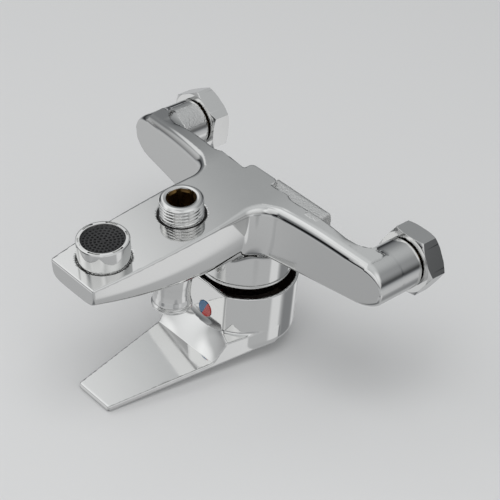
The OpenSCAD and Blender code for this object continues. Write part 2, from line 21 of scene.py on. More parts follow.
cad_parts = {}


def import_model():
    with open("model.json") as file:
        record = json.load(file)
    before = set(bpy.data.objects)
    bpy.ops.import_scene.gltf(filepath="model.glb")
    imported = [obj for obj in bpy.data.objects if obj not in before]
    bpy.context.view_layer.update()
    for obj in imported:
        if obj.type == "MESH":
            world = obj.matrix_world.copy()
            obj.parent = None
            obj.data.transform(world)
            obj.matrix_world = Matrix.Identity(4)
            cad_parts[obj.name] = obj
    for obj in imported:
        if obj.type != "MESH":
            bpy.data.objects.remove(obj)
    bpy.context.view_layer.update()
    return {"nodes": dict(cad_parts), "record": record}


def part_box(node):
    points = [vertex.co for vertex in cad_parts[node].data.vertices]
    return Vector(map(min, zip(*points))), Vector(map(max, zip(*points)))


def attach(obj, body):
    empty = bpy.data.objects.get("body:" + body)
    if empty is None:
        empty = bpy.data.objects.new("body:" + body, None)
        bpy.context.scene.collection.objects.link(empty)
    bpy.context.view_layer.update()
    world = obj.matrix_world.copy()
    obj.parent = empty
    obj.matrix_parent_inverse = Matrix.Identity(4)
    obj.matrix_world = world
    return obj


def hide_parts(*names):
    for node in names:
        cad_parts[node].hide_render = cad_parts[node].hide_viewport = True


MM = 0.001
LOG = logging.getLogger("tap")
Field = Callable[[np.ndarray, np.ndarray, np.ndarray], np.ndarray]
Rings = list[tuple[Any, Any]]


class Slot(Enum):
    """Material slots of the record."""

    CHROME = "chrome"
    BRASS = "brass"
    RUBBER = "rubber"
    WHITE = "white_plastic"
    GREY = "grey_plastic"
    CERAMIC = "ceramic"
    STEEL = "steel"
    INDEX = "index_plastic"


class Body(Enum):
    """Bodies of the record that carry pieces made here."""

    TAP = "tap_body"
    LEVER = "lever"
    DIVERTER = "diverter"
    NUT_LEFT = "nut_left"
    NUT_RIGHT = "nut_right"


def srgb(code: str) -> tuple[float, float, float, float]:
    """Turns a colour into linear light.

    Args:
        code: sRGB hex code such as "#c8ccd0".

    Returns:
        Linear red, green and blue, and an alpha of 1.
    """
    channels = [int(code[i : i + 2], 16) / 255 for i in (1, 3, 5)]
    linear = [c / 12.92 if c <= 0.04045 else ((c + 0.055) / 1.055) ** 2.4 for c in channels]
    return (linear[0], linear[1], linear[2], 1.0)


# ---------------------------------------------------------------- shader trees

MATH = "ShaderNodeMath"
VECTOR_MATH = "ShaderNodeVectorMath"
MAP_RANGE = "ShaderNodeMapRange"
NOISE = "ShaderNodeTexNoise"
BUMP = "ShaderNodeBump"
MIX = "ShaderNodeMix"

# Period of a Wave texture's bands at scale 1, in the units of its vector
WAVE_PERIOD = 0.31


def feed(tree: bpy.types.NodeTree, node: bpy.types.Node, inputs: Mapping[Any, Any]) -> None:
    """Sets a node's inputs, and links those that another node feeds.

    Args:
        tree: Tree that holds the node.
        node: Node whose inputs are set.
        inputs: Socket name or number to a value or to the output socket that feeds it.
    """
    for key, value in inputs.items():
        if isinstance(value, bpy.types.NodeSocket):
            tree.links.new(value, node.inputs[key])
        else:
            node.inputs[key].default_value = value


def add_node(
    tree: bpy.types.NodeTree,
    kind: str,
    inputs: Optional[Mapping[Any, Any]] = None,
    **settings: Any,
) -> bpy.types.Node:
    """Adds one shader node with its settings, values and links.

    Args:
        tree: Tree that gets the node.
        kind: Node type.
        inputs: Socket name or number to a value or to the output socket that feeds it.
        settings: Attributes of the node.

    Returns:
        The new node.
    """
    new = tree.nodes.new(kind)
    for key, value in settings.items():
        setattr(new, key, value)
    feed(tree, new, inputs or {})
    return new


def new_material(name: str) -> tuple[bpy.types.Material, bpy.types.NodeTree, bpy.types.Node]:
    """Makes a node material.

    Args:
        name: Name of the material.

    Returns:
        The material, its tree and its Principled node.
    """
    material = bpy.data.materials.new(name)
    material.use_nodes = True
    tree = material.node_tree
    return material, tree, tree.nodes["Principled BSDF"]


def part_place(tree: bpy.types.NodeTree) -> bpy.types.NodeSocket:
    """Position in the part's own frame, in metres, so a pattern stays on the part when it moves."""
    return add_node(tree, "ShaderNodeTexCoord").outputs["Object"]


@dataclass(frozen=True)
class Grain:
    """Random grain or swell whose largest blobs are about size_mm across."""

    size_mm: float
    detail: float = 2.0

    def build(self, tree: bpy.types.NodeTree, place: bpy.types.NodeSocket) -> bpy.types.NodeSocket:
        """Adds the grain over a place and returns its level, about 0.5 on average."""
        inputs = {"Vector": place, "Scale": 1 / (self.size_mm * MM), "Detail": self.detail}
        return add_node(tree, NOISE, inputs).outputs["Fac"]


@dataclass(frozen=True)
class Patches:
    """Uneven patches, such as polishing smears or tarnish: grain that fades between two of its levels."""

    grain: Grain
    start: float = 0.3
    full: float = 0.7

    def build(
        self, tree: bpy.types.NodeTree, place: bpy.types.NodeSocket, low: float = 0.0, high: float = 1.0
    ) -> bpy.types.NodeSocket:
        """Adds the patches.

        Args:
            tree: Tree that gets the nodes.
            place: Position in the part's frame.
            low: Value between the patches.
            high: Value on the patches.

        Returns:
            The value at each place.
        """
        level = self.grain.build(tree, place)
        inputs = {0: level, 1: self.start, 2: self.full, 3: low, 4: high}
        return add_node(tree, MAP_RANGE, inputs, interpolation_type="SMOOTHSTEP").outputs[0]


# ---------------------------------------------------------------- finishes


@dataclass(frozen=True)
class PolishedChrome:
    """Bright nickel-chrome plating on polished brass: a near mirror with a faint polishing swell.

    The swell bends reflected edges a little, which tells the eye that the metal was buffed by hand. Where the
    mesh carries the attribute "cast", the plating lies on unpolished casting skin: dull and grainy. Inside
    the handle's skirt, marked by the second attribute, the colour is painted dark brown, dull and not
    metallic: painted shade of that narrow hollow.

    Attributes:
        tint: Colour of the plating.
        painted_shade_tint: Dark colour painted inside the handle's skirt: painted shade.
        roughness: Roughness of the plating.
        smear: Patches where the polish is a little duller.
        smear_roughness: What a smear adds to the roughness.
        cast_roughness: What the casting skin adds to it.
        painted_shade_roughness: What it adds where that shade is painted.
        swell: The polishing swell.
        swell_mm: Height of the swell.
        skin: Grain of the casting skin.
        skin_mm: Height of that grain.
    """

    tint: str = "#eaeae9"
    painted_shade_tint: str = "#3b3029"
    roughness: float = 0.045
    smear: Patches = Patches(Grain(6.0, 4.0), 0.35, 0.75)
    smear_roughness: float = 0.035
    cast_roughness: float = 0.4
    painted_shade_roughness: float = 0.5
    swell: Grain = Grain(14.0, 1.0)
    swell_mm: float = 0.006
    skin: Grain = Grain(0.9, 3.0)
    skin_mm: float = 0.22

    def build(self) -> bpy.types.Material:
        """Builds the finish.

        Returns:
            The node material.
        """
        material, tree, shader = new_material("polished_chrome")
        place = part_place(tree)
        cast = add_node(tree, "ShaderNodeAttribute", attribute_name="cast").outputs["Fac"]
        # Painted shade: this mark makes the inside of the handle's skirt dark brown, dull and not metallic
        painted_shade = add_node(tree, "ShaderNodeAttribute", attribute_name="painted_shade").outputs["Fac"]
        smear = self.smear.build(tree, place, self.roughness, self.roughness + self.smear_roughness)
        skin = add_node(tree, MATH, {0: self.skin.build(tree, place), 1: cast}, operation="MULTIPLY")
        swell = {0: self.swell.build(tree, place), 1: self.swell_mm / self.skin_mm, 2: skin.outputs[0]}
        height = add_node(tree, MATH, swell, operation="MULTIPLY_ADD").outputs[0]
        bump = add_node(tree, BUMP, {"Height": height, "Distance": self.skin_mm * MM, "Strength": 1.0})
        # The dark colour here is the painted shade inside the handle
        colours = {0: painted_shade, 6: srgb(self.tint), 7: srgb(self.painted_shade_tint)}
        dull = add_node(tree, MATH, {0: cast, 1: self.cast_roughness, 2: smear}, operation="MULTIPLY_ADD")
        # Roughness of the painted shade inside the handle
        bare = {0: painted_shade, 1: self.painted_shade_roughness, 2: dull.outputs[0]}
        inputs = {
            "Base Color": add_node(tree, MIX, colours, data_type="RGBA").outputs[2],
            "Metallic": add_node(tree, MATH, {0: 1.0, 1: painted_shade}, operation="SUBTRACT").outputs[0],
            "Roughness": add_node(tree, MATH, bare, operation="MULTIPLY_ADD").outputs[0],
            "Normal": bump.outputs[0],
        }
        feed(tree, shader, inputs)
        return material


@dataclass(frozen=True)
class TurnedMetal:
    """Metal left as it came from the lathe: fine rings of tool marks and a slightly uneven tarnish.

    The rings stretch highlights across the part, and the tarnish tells the eye that it was never plated. Real
    tool marks are finer; they are drawn as coarse as they need to show.

    Attributes:
        name: Name of the material.
        tint: Colour of the clean metal.
        dull_tint: Colour of the tarnish.
        roughness: Roughness of the clean metal.
        tarnish: Where the metal is tarnished.
        tarnish_roughness: What tarnish adds to the roughness.
        ring_mm: Distance between the tool's rings.
        ring_depth_mm: Depth of the rings.
        ring_strength: Share of that depth that shows.
        ring_stray: How far the rings stray from true ones.
        ring_detail: How many finer strays lie on those.
    """

    name: str
    tint: str
    dull_tint: str
    roughness: float = 0.28
    tarnish: Patches = Patches(Grain(5.0, 5.0), 0.35, 0.7)
    tarnish_roughness: float = 0.15
    ring_mm: float = 0.35
    ring_depth_mm: float = 0.01
    ring_strength: float = 0.5
    ring_stray: float = 1.5
    ring_detail: float = 2.0

    def build(self) -> bpy.types.Material:
        """Builds the finish.

        Returns:
            The node material.
        """
        material, tree, shader = new_material(self.name)
        place = part_place(tree)
        tarnish = self.tarnish.build(tree, place)
        colours = {0: tarnish, 6: srgb(self.tint), 7: srgb(self.dull_tint)}
        marks = {
            "Vector": place,
            "Scale": WAVE_PERIOD / (self.ring_mm * MM),
            "Distortion": self.ring_stray,
            "Detail": self.ring_detail,
        }
        rings = add_node(tree, "ShaderNodeTexWave", marks, wave_type="BANDS", bands_direction="Z")
        height = {
            "Height": rings.outputs["Fac"],
            "Distance": self.ring_depth_mm * MM,
            "Strength": self.ring_strength,
        }
        rough = {0: tarnish, 1: 0.0, 2: 1.0, 3: self.roughness, 4: self.roughness + self.tarnish_roughness}
        inputs = {
            "Base Color": add_node(tree, MIX, colours, data_type="RGBA").outputs[2],
            "Metallic": 1.0,
            "Roughness": add_node(tree, MAP_RANGE, rough, interpolation_type="SMOOTHSTEP").outputs[0],
            "Normal": add_node(tree, BUMP, height).outputs[0],
        }
        feed(tree, shader, inputs)
        return material


@dataclass(frozen=True)
class Moulded:
    """Moulded plastic or rubber, or pressed ceramic: one colour with a fine skin texture.

    The skin breaks the shine into a soft sheen, and faint scuffs keep the surface from looking like paint.

    Attributes:
        name: Name of the material.
        colour: Its colour.
        roughness: Roughness between the scuffs.
        skin_mm: Height of the skin's grain.
        skin: The skin's grain.
        shade: Where the colour is a little lighter.
        shade_range: Brightness outside those patches and on them.
        scuff: Where the surface is scuffed.
        scuff_roughness: What a scuff adds to the roughness.
    """

    name: str
    colour: str
    roughness: float
    skin_mm: float = 0.012
    skin: Grain = Grain(0.5)
    shade: Patches = Patches(Grain(7.0, 4.0))
    shade_range: tuple[float, float] = (0.88, 1.06)
    scuff: Patches = Patches(Grain(2.0))
    scuff_roughness: float = 0.1

    def build(self) -> bpy.types.Material:
        """Builds the finish.

        Returns:
            The node material.
        """
        material, tree, shader = new_material(self.name)
        place = part_place(tree)
        shade = self.shade.build(tree, place, *self.shade_range)
        colour = add_node(tree, VECTOR_MATH, {0: srgb(self.colour)[:3], "Scale": shade}, operation="SCALE")
        height = {"Height": self.skin.build(tree, place), "Distance": self.skin_mm * MM, "Strength": 1.0}
        inputs = {
            "Base Color": colour.outputs[0],
            "Roughness": self.scuff.build(
                tree, place, self.roughness, self.roughness + self.scuff_roughness
            ),
            "Normal": add_node(tree, BUMP, height).outputs[0],
        }
        feed(tree, shader, inputs)
        return material


@dataclass(frozen=True)
class IndexAcrylic:
    """Glossy two-colour acrylic of the index plug: blue on one side of a slanted line, red on the other.

    The clear coat gives the small plug the wet shine that sets it off from the metal round it. The line
    between the colours leans by slant, and they run into each other over edge_mm to either side of it.
    """

    blue: str = "#2f6f9f"
    red: str = "#cc2f2a"
    slant: float = math.radians(24.0)
    edge_mm: float = 0.12
    scuff: Patches = Patches(Grain(1.5))
    roughness: tuple[float, float] = (0.12, 0.22)
    coat: float = 0.6
    coat_roughness: float = 0.04

    def build(self, centre: Vector) -> bpy.types.Material:
        """Builds the finish.

        Args:
            centre: Centre of the plug in metres; the line between the colours runs through it.

        Returns:
            The node material.
        """
        material, tree, shader = new_material("index_acrylic")
        place = part_place(tree)
        axes = add_node(tree, "ShaderNodeSeparateXYZ", {0: place}).outputs
        shares = []
        lean = ((0, centre.x, math.cos(self.slant)), (2, centre.z, -math.sin(self.slant)))
        for axis, middle, share in lean:
            away = add_node(tree, MATH, {0: axes[axis], 1: middle}, operation="SUBTRACT").outputs[0]
            shares.append(add_node(tree, MATH, {0: away, 1: share}, operation="MULTIPLY").outputs[0])
        across = add_node(tree, MATH, dict(enumerate(shares)), operation="ADD").outputs[0]
        edge = {0: across, 1: -self.edge_mm * MM, 2: self.edge_mm * MM, 3: 0.0, 4: 1.0}
        side = add_node(tree, MAP_RANGE, edge, interpolation_type="SMOOTHSTEP").outputs[0]
        colours = {0: side, 6: srgb(self.red), 7: srgb(self.blue)}
        inputs = {
            "Base Color": add_node(tree, MIX, colours, data_type="RGBA").outputs[2],
            "Roughness": self.scuff.build(tree, place, *self.roughness),
            "Coat Weight": self.coat,
            "Coat Roughness": self.coat_roughness,
        }
        feed(tree, shader, inputs)
        return material


class Palette:
    """All finishes, each built once."""

    def __init__(self, plug_centre: Vector) -> None:
        """Builds the materials.

        Args:
            plug_centre: Centre of the index plug in metres.
        """
        self.by_slot: dict[Slot, bpy.types.Material] = {
            Slot.CHROME: PolishedChrome().build(),
            Slot.BRASS: TurnedMetal("turned_brass", "#7d6238", "#4a3a26", 0.34).build(),
            Slot.STEEL: TurnedMetal("drawn_steel", "#b9bbbb", "#8d8f90", 0.25).build(),
            Slot.RUBBER: Moulded("moulded_rubber", "#1a1918", 0.55).build(),
            Slot.WHITE: Moulded("acetal", "#dcdbd4", 0.35).build(),
            Slot.GREY: Moulded("dark_acetal", "#2b2b2c", 0.35).build(),
            Slot.CERAMIC: Moulded("alumina", "#e6e2d6", 0.12, 0.003).build(),
            Slot.INDEX: IndexAcrylic().build(plug_centre),
        }


# ---------------------------------------------------------------- mesh tools

# Edges above this angle are shaded sharp, where a mesh has no normals of its own
SHARP = math.radians(32.0)
# Least length that anything is divided by
TINY = 1e-9
# Least square of a field's slope that a move onto its surface is worked out from
LEAST_SLOPE_SQUARE = 0.05
# Radius of the smallest ring, which stands for a point on the axis
MIDDLE = 0.001


def soft_max(a: np.ndarray, b: np.ndarray, k: float) -> np.ndarray:
    """Larger of two distances, with the edge between them rounded over about k millimetres."""
    h = np.maximum(k - np.abs(a - b), 0) / k
    return np.maximum(a, b) + h * h * (k / 4)


def soft_min(a: np.ndarray, b: np.ndarray, k: float) -> np.ndarray:
    """Smaller of two distances, with a fillet of about k millimetres between them."""
    return -soft_max(-a, -b, k)


def round_max(a: np.ndarray, b: np.ndarray, radius: Union[float, np.ndarray]) -> np.ndarray:
    """Larger of two distances, with the outer edge between them rounded to a true radius."""
    outside = np.hypot(np.maximum(a + radius, 0), np.maximum(b + radius, 0))
    return np.minimum(-radius, np.maximum(a, b)) + outside


def round_min(a: np.ndarray, b: np.ndarray, radius: Union[float, np.ndarray]) -> np.ndarray:
    """Smaller of two distances, with the inner corner between them filled to a true radius."""
    return -round_max(-a, -b, radius)


def fade(at: np.ndarray, start: float, end: float) -> np.ndarray:
    """Share of the way from start to end, held at 0 before it and at 1 beyond it."""
    return np.clip((at - start) / (end - start), 0, 1)


@dataclass(frozen=True)
class Table:
    """A size that changes along a line."""

    places: tuple[float, ...]
    values: tuple[float, ...]

    def straight(self, at: np.ndarray) -> np.ndarray:
        """Reads the size with straight runs between the places."""
        return np.interp(at, self.places, self.values)

    def smooth(self, at: np.ndarray) -> np.ndarray:
        """Reads the size from one curve through all points, which leaves no bend for a reflection to show."""
        curve = np.polynomial.Polynomial.fit(self.places, self.values, len(self.places) - 1)
        return curve(np.clip(at, self.places[0], self.places[-1]))


@dataclass(frozen=True)
class Bore:
    """Round bore that opens upward along its axis."""

    radius: float
    floor: float

    def distance(self, away: np.ndarray, height: np.ndarray) -> np.ndarray:
        """Distance to the bore, by distance from its axis and height along it; negative inside."""
        return np.maximum(away - self.radius, self.floor - height)


@dataclass(frozen=True)
class Groove:
    """Ring-shaped groove that opens upward along its axis."""

    radius: float
    half_width: float
    floor: float

    def distance(self, away: np.ndarray, height: np.ndarray) -> np.ndarray:
        """Distance to the groove, by distance from its axis and height along it; negative inside."""
        return np.maximum(np.abs(away - self.radius) - self.half_width, self.floor - height)


@dataclass
class Shell:
    """A mesh before Blender: points in millimetres, faces, and optional normals."""

    points: np.ndarray
    faces: np.ndarray
    normals: Optional[np.ndarray] = None


def slope(field: Field, points: np.ndarray, reach: float = 0.02) -> np.ndarray:
    """Measures a field's gradient by central differences.

    Args:
        field: Distance over three arrays.
        points: Where to measure it, one point a row.
        reach: Distance to either side of a point, in millimetres.

    Returns:
        The gradient at each point, one a row.
    """
    gradient = np.empty_like(points)
    for axis in range(3):
        offset = np.zeros(3)
        offset[axis] = reach
        ahead, behind = (points + offset).T, (points - offset).T
        gradient[:, axis] = (field(*ahead) - field(*behind)) / (2 * reach)
    return gradient


def cell_points(values: np.ndarray, cells: np.ndarray) -> np.ndarray:
    """Places one point in each cell that the surface crosses, amid its crossings of the cell's edges.

    Args:
        values: Field at the grid's corners.
        cells: Lowest corner of each crossed cell, one a row.

    Returns:
        Points in grid steps, one a row.
    """
    total = np.zeros((len(cells), 3))
    count = np.zeros((len(cells), 1))
    for axis, du, dv in itertools.product(range(3), (0, 1), (0, 1)):
        near = cells.copy()
        near[:, (axis + 1) % 3] += du
        near[:, (axis + 2) % 3] += dv
        far = near.copy()
        far[:, axis] += 1
        a, b = values[tuple(near.T)], values[tuple(far.T)]
        hit = (a < 0) != (b < 0)
        point = near.astype(float)
        point[:, axis] += np.where(hit, a / np.where(hit, a - b, 1), 0)
        total += point * hit[:, None]
        count += hit[:, None]
    return total / count


def cell_quads(inside: np.ndarray, index: np.ndarray) -> np.ndarray:
    """Joins the points of the four cells round each grid edge that the surface crosses.

    Args:
        inside: Whether each of the grid's corners is inside.
        index: Number of each cell's point.

    Returns:
        Quads that face outward, one a row.
    """
    faces = []
    for axis in range(3):
        u, v = (axis + 1) % 3, (axis + 2) % 3
        first: list[slice] = [slice(1, -1)] * 3
        first[axis] = slice(0, -1)
        second = list(first)
        second[axis] = slice(1, None)
        start, end = inside[tuple(first)], inside[tuple(second)]
        edges = np.argwhere(start != end)
        solid_first = start[tuple(edges.T)]
        edges[:, u] += 1
        edges[:, v] += 1
        ring = []
        for du, dv in ((1, 1), (0, 1), (0, 0), (1, 0)):
            cell = edges.copy()
            cell[:, u] -= du
            cell[:, v] -= dv
            ring.append(index[tuple(cell.T)])
        quads = np.stack(ring, axis=1)
        quads[~solid_first] = quads[~solid_first][:, ::-1]
        faces.append(quads)
    return np.concatenate(faces)


def settle(field: Field, points: np.ndarray, reach: float, rounds: int = 5) -> None:
    """Moves points onto a field's zero surface.

    Args:
        field: Signed distance over three arrays.
        points: Points near the surface, one a row, which are moved.
        reach: Longest move in one round.
        rounds: How often they are moved.
    """
    for _ in range(rounds):
        gradient = slope(field, points)
        size = np.maximum((gradient**2).sum(1), LEAST_SLOPE_SQUARE)
        move = gradient * (field(*points.T) / size)[:, None]
        length = np.maximum(np.linalg.norm(move, axis=1), TINY)
        points -= move * np.minimum(1, reach / length)[:, None]


def surface_of(
    field: Field, low: np.ndarray, high: np.ndarray, step: float, reach: float = 0.4
) -> Shell:
    """Meshes the zero surface of a field with quads, and settles the points on the true surface.

    Args:
        field: Signed distance, negative inside, over three arrays that broadcast together.
        low: Lowest corner of the searched box.
        high: Highest corner of the searched box.
        step: Grid spacing.
        reach: Longest move of a point in one round of settling, as a share of the spacing.

    Returns:
        Points, quads and the field's own normals, so that reflections are smooth.
    """
    axes = [np.arange(a, b + step, step) for a, b in zip(low, high)]
    grids = np.meshgrid(*axes, indexing="ij", sparse=True)
    shape = tuple(len(a) for a in axes)
    values = np.ascontiguousarray(np.broadcast_to(field(*grids), shape)).astype(np.float32)
    inside = values < 0
    corners = np.zeros(tuple(n - 1 for n in shape), np.int8)
    for offset in itertools.product((0, 1), repeat=3):
        corners += inside[tuple(slice(o, n - 1 + o) for o, n in zip(offset, shape))]
    crossed = (corners > 0) & (corners < 8)
    index = np.full(crossed.shape, -1, np.int64)
    index[crossed] = np.arange(int(crossed.sum()))
    points = cell_points(values, np.argwhere(crossed)) * step + np.array(low, float)
    faces = cell_quads(inside, index)
    settle(field, points, reach * step)
    normals = slope(field, points)
    normals /= np.maximum(np.linalg.norm(normals, axis=1), TINY)[:, None]
    return Shell(points, faces, normals)


def ring_stack(rings: Rings, angles: np.ndarray, closed: bool = False) -> Shell:
    """Joins rings of points about the Z axis with quads.

    Args:
        rings: For each ring, its radius and its height; each is a number or one value per angle.
        angles: Angles of the points of every ring, in radians.
        closed: True joins the last ring to the first.

    Returns:
        The shell. Faces point outward where the rings run up the outside.
    """
    n = len(angles)
    points = []
    for radius, height in rings:
        radius, height = np.broadcast_to(radius, n), np.broadcast_to(height, n)
        points.append(np.stack([radius * np.cos(angles), radius * np.sin(angles), height], axis=1))
    i = np.arange(n)
    j = (i + 1) % n
    spans = range(len(rings) if closed else len(rings) - 1)
    faces = []
    for k in spans:
        a, b = k * n, ((k + 1) % len(rings)) * n
        faces.append(np.stack([a + i, a + j, b + j, b + i], axis=1))
    return Shell(np.concatenate(points), np.concatenate(faces))


def turned_over(shell: Shell) -> Shell:
    """The same shell with its faces the other way round."""
    return Shell(shell.points, shell.faces[:, ::-1], shell.normals)


def even_angles(count: int) -> np.ndarray:
    """Evenly spaced angles of a full turn."""
    return np.arange(count) * (2 * math.pi / count)


def softened(
    corners: Sequence[tuple[float, float]], radius: float, steps: int = 3, most: float = 0.45
) -> Rings:
    """Rounds the inner corners of an open outline.

    Args:
        corners: Points (radius, height) of the outline.
        radius: Length that each corner gives up on either side, less where the sides are short.
        steps: Points per rounded corner, less one.
        most: Largest share of a side that a corner takes.

    Returns:
        The outline with each corner replaced by a short curve.
    """
    outline: Rings = [corners[0]]
    for before, at, after in zip(corners, corners[1:], corners[2:]):
        p, q, r = (np.array(c, float) for c in (before, at, after))
        back, ahead = p - q, r - q
        cut_back, cut_ahead = (
            min(radius, most * float(np.linalg.norm(side))) / float(np.linalg.norm(side))
            for side in (back, ahead)
        )
        start, end = q + back * cut_back, q + ahead * cut_ahead
        for s in range(steps + 1):
            t = s / steps
            point = (1 - t) ** 2 * start + 2 * t * (1 - t) * q + t**2 * end
            outline.append((float(point[0]), float(point[1])))
    outline.append(corners[-1])
    return outline


@dataclass(frozen=True)
class Thread:
    """Right-hand screw thread with flat crests and grooves, whose flanks fade out at both ends.

    Attributes:
        crest: Radius on the crests.
        root: Radius in the grooves.
        pitch: Distance from crest to crest.
        rows_per_pitch: Rings of points from crest to crest.
        least_rows: Fewest rings of points in a short thread.
        flank: How steep the flanks are; above 1 the crests and grooves get flats.
        crest_flat: Share of the depth that widens the crests' flats.
        run_out: Share of a pitch over which the groove fades out at either end.
    """

    crest: float
    root: float
    pitch: float
    rows_per_pitch: int = 10
    least_rows: int = 8
    flank: float = 1.6
    crest_flat: float = 0.3
    run_out: float = 0.4

    def rings(self, start: float, end: float, angles: np.ndarray) -> Rings:
        """Builds the thread between two heights.

        Args:
            start: Height of the first ring.
            end: Height of the last ring.
            angles: Angles of the points of every ring.

        Returns:
            Rings for ring_stack, from start to end.
        """
        rows = max(self.least_rows, round(abs(end - start) / self.pitch * self.rows_per_pitch))
        fade_len = self.run_out * self.pitch
        rings: Rings = []
        for height in np.linspace(start, end, rows + 1):
            phase = (height / self.pitch - angles / (2 * math.pi)) % 1
            depth = np.clip(self.flank * np.abs(2 * phase - 1) - self.crest_flat, 0, 1)
            share = min(1.0, abs(height - start) / fade_len, abs(height - end) / fade_len)
            rings.append((self.crest - (self.crest - self.root) * depth * share, float(height)))
        return rings


def make_piece(
    name: str,
    shell: Shell,
    body: Body,
    slot: Slot,
    palette: Palette,
    replaces: Sequence[str] = (),
    marks: Optional[Mapping[str, np.ndarray]] = None,
    inner: Optional[tuple[Slot, np.ndarray]] = None,
) -> bpy.types.Object:
    """Args:
        name: Name of the piece.
        shell: Its mesh in millimetres.
        body: Body that it rides on.
        slot: Slot that its finish belongs to.
        palette: Finishes.
        replaces: CAD nodes that it stands for.
        marks: Attributes that the finish reads, by name, with a value for each point.
        inner: A second slot and a mask of the faces that it covers.

    Returns:
        The object.
    """
    mesh = bpy.data.meshes.new(name)
    mesh.from_pydata((shell.points * MM).tolist(), [], shell.faces.tolist())
    mesh.polygons.foreach_set("use_smooth", np.ones(len(mesh.polygons), bool))
    mesh.materials.append(palette.by_slot[slot])
    if inner is not None:
        mesh.materials.append(palette.by_slot[inner[0]])
        mesh.polygons.foreach_set("material_index", inner[1].astype(np.int32))
    for mark, values in (marks or {}).items():
        mesh.attributes.new(mark, "FLOAT", "POINT").data.foreach_set("value", values.astype(np.float32))
    if shell.normals is not None:
        mesh.normals_split_custom_set_from_vertices(shell.normals.tolist())
    else:
        mesh.set_sharp_from_angle(angle=SHARP)
    piece = bpy.data.objects.new(name, mesh)
    bpy.context.scene.collection.objects.link(piece)
    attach(piece, body.value)
    if replaces:
        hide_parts(*replaces)
    LOG.info("%s: %d faces on %s", name, len(mesh.polygons), body.value)
    return piece


def box_mm(node: str) -> tuple[np.ndarray, np.ndarray]:
    """Lowest and highest corners of a CAD node's box, in millimetres."""
    low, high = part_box(node)
    return np.array(low) / MM, np.array(high) / MM


def centre_mm(node: str) -> np.ndarray:
    """Centre of a CAD node's box, in millimetres."""
    low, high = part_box(node)
    return (np.array(low) + np.array(high)) / 2 / MM


# ---------------------------------------------------------------- places taken from the frame

# Distance from the underside to the shower outlet mount's point
OUTLET_DEPTH = 5.3


@dataclass(frozen=True)
class Deck:
    """Plane of the underside: it rises toward the spout's tip. Its own Z points into the body."""

    origin_y: float
    origin_z: float
    rise: float

    def local(self, y: np.ndarray, z: np.ndarray) -> tuple[np.ndarray, np.ndarray]:
        """Turns places in the part's frame into the deck's.

        Args:
            y: Y in the part's frame.
            z: Z in the part's frame.

        Returns:
            Y along the deck, toward the wall, and the height above it.
        """
        c, s = math.cos(self.rise), math.sin(self.rise)
        dy, dz = y - self.origin_y, z - self.origin_z
        return c * dy - s * dz, s * dy + c * dz

    def placed(self, shell: Shell, out: float) -> Shell:
        """Stands a shell on the deck.

        Args:
            shell: Shell about its own Z axis.
            out: Distance of that axis from the cartridge's, along the deck.

        Returns:
            The shell in the part's frame.
        """
        c, s = math.cos(self.rise), math.sin(self.rise)
        x, y, z = shell.points.T
        y = y - out
        points = np.stack([x, self.origin_y + c * y + s * z, self.origin_z - s * y + c * z], axis=1)
        return Shell(points, shell.faces, shell.normals)


@dataclass(frozen=True)
class Places:
    """Places of the main axes, in millimetres, read from the frame."""

    axis_y: float
    leg_x: float
    diverter_y: float
    deck: Deck
    nipple_out: float
    aerator_out: float

    @classmethod
    def from_frame(cls, record: Mapping[str, Any]) -> "Places":
        """Reads the places.

        Args:
            record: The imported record, whose shower outlet mount gives the deck's rise.

        Returns:
            The places.
        """
        outlet = next(m for m in record["mounts"] if m["name"] == "shower_outlet")
        rise = math.asin(-outlet["axis"][1])
        axis_y = float(centre_mm("cover_dome")[1])
        y, z = (np.array(v / MM) for v in outlet["pos_m"][1:])
        depth = float(Deck(axis_y, 0.0, rise).local(y, z)[1])
        deck = Deck(axis_y, (depth + OUTLET_DEPTH) / math.cos(rise), rise)
        nipple_out = -float(deck.local(y, z)[0])
        aerator = centre_mm("aerator_mesh")
        aerator_out = -float(deck.local(aerator[1], aerator[2])[0])
        LOG.info("deck z %.3f, nipple %.2f, aerator %.2f", deck.origin_z, nipple_out, aerator_out)
        return cls(
            axis_y=axis_y,
            leg_x=float(centre_mm("union_nut_right")[0]),
            diverter_y=float(centre_mm("diverter_stem")[1]),
            deck=deck,
            nipple_out=nipple_out,
            aerator_out=aerator_out,
        )


# ---------------------------------------------------------------- the body casting


@dataclass(frozen=True)
class FoundryMark:
    """Flat-sided lump that the mould leaves at the rear of the underside, measured in the deck's frame.

    Attributes:
        x: X of its middle.
        half_x: Half of its width.
        front_y: Y of its front, which lies inside the casting.
        rear_y: Y of its rear.
        mid_z: Height of its middle.
        half_z: Half of its height.
        edge: Softening of its upper and lower edges.
        corner: Radius of its upright corners, or 0 for sharp ones.
    """

    x: float
    half_x: float
    front_y: float
    rear_y: float
    mid_z: float
    half_z: float
    edge: float
    corner: float = 0.0

    def distance(self, x: np.ndarray, dy: np.ndarray, dz: np.ndarray) -> np.ndarray:
        """Distance to the lump.

        Args:
            x: X of the points.
            dy: Y along the deck.
            dz: Height above the deck.

        Returns:
            Distance, negative inside.
        """
        across = np.abs(x - self.x) - self.half_x
        along = np.maximum(dy - self.rear_y, self.front_y - dy)
        plan = round_max(across, along, self.corner) if self.corner else np.maximum(across, along)
        return soft_max(plan, np.abs(dz - self.mid_z) - self.half_z, self.edge)


# Distances from the cartridge axis at which the spout's section is given
SPOUT_STATIONS = (2.0, 44.0, 79.9, 108.0)


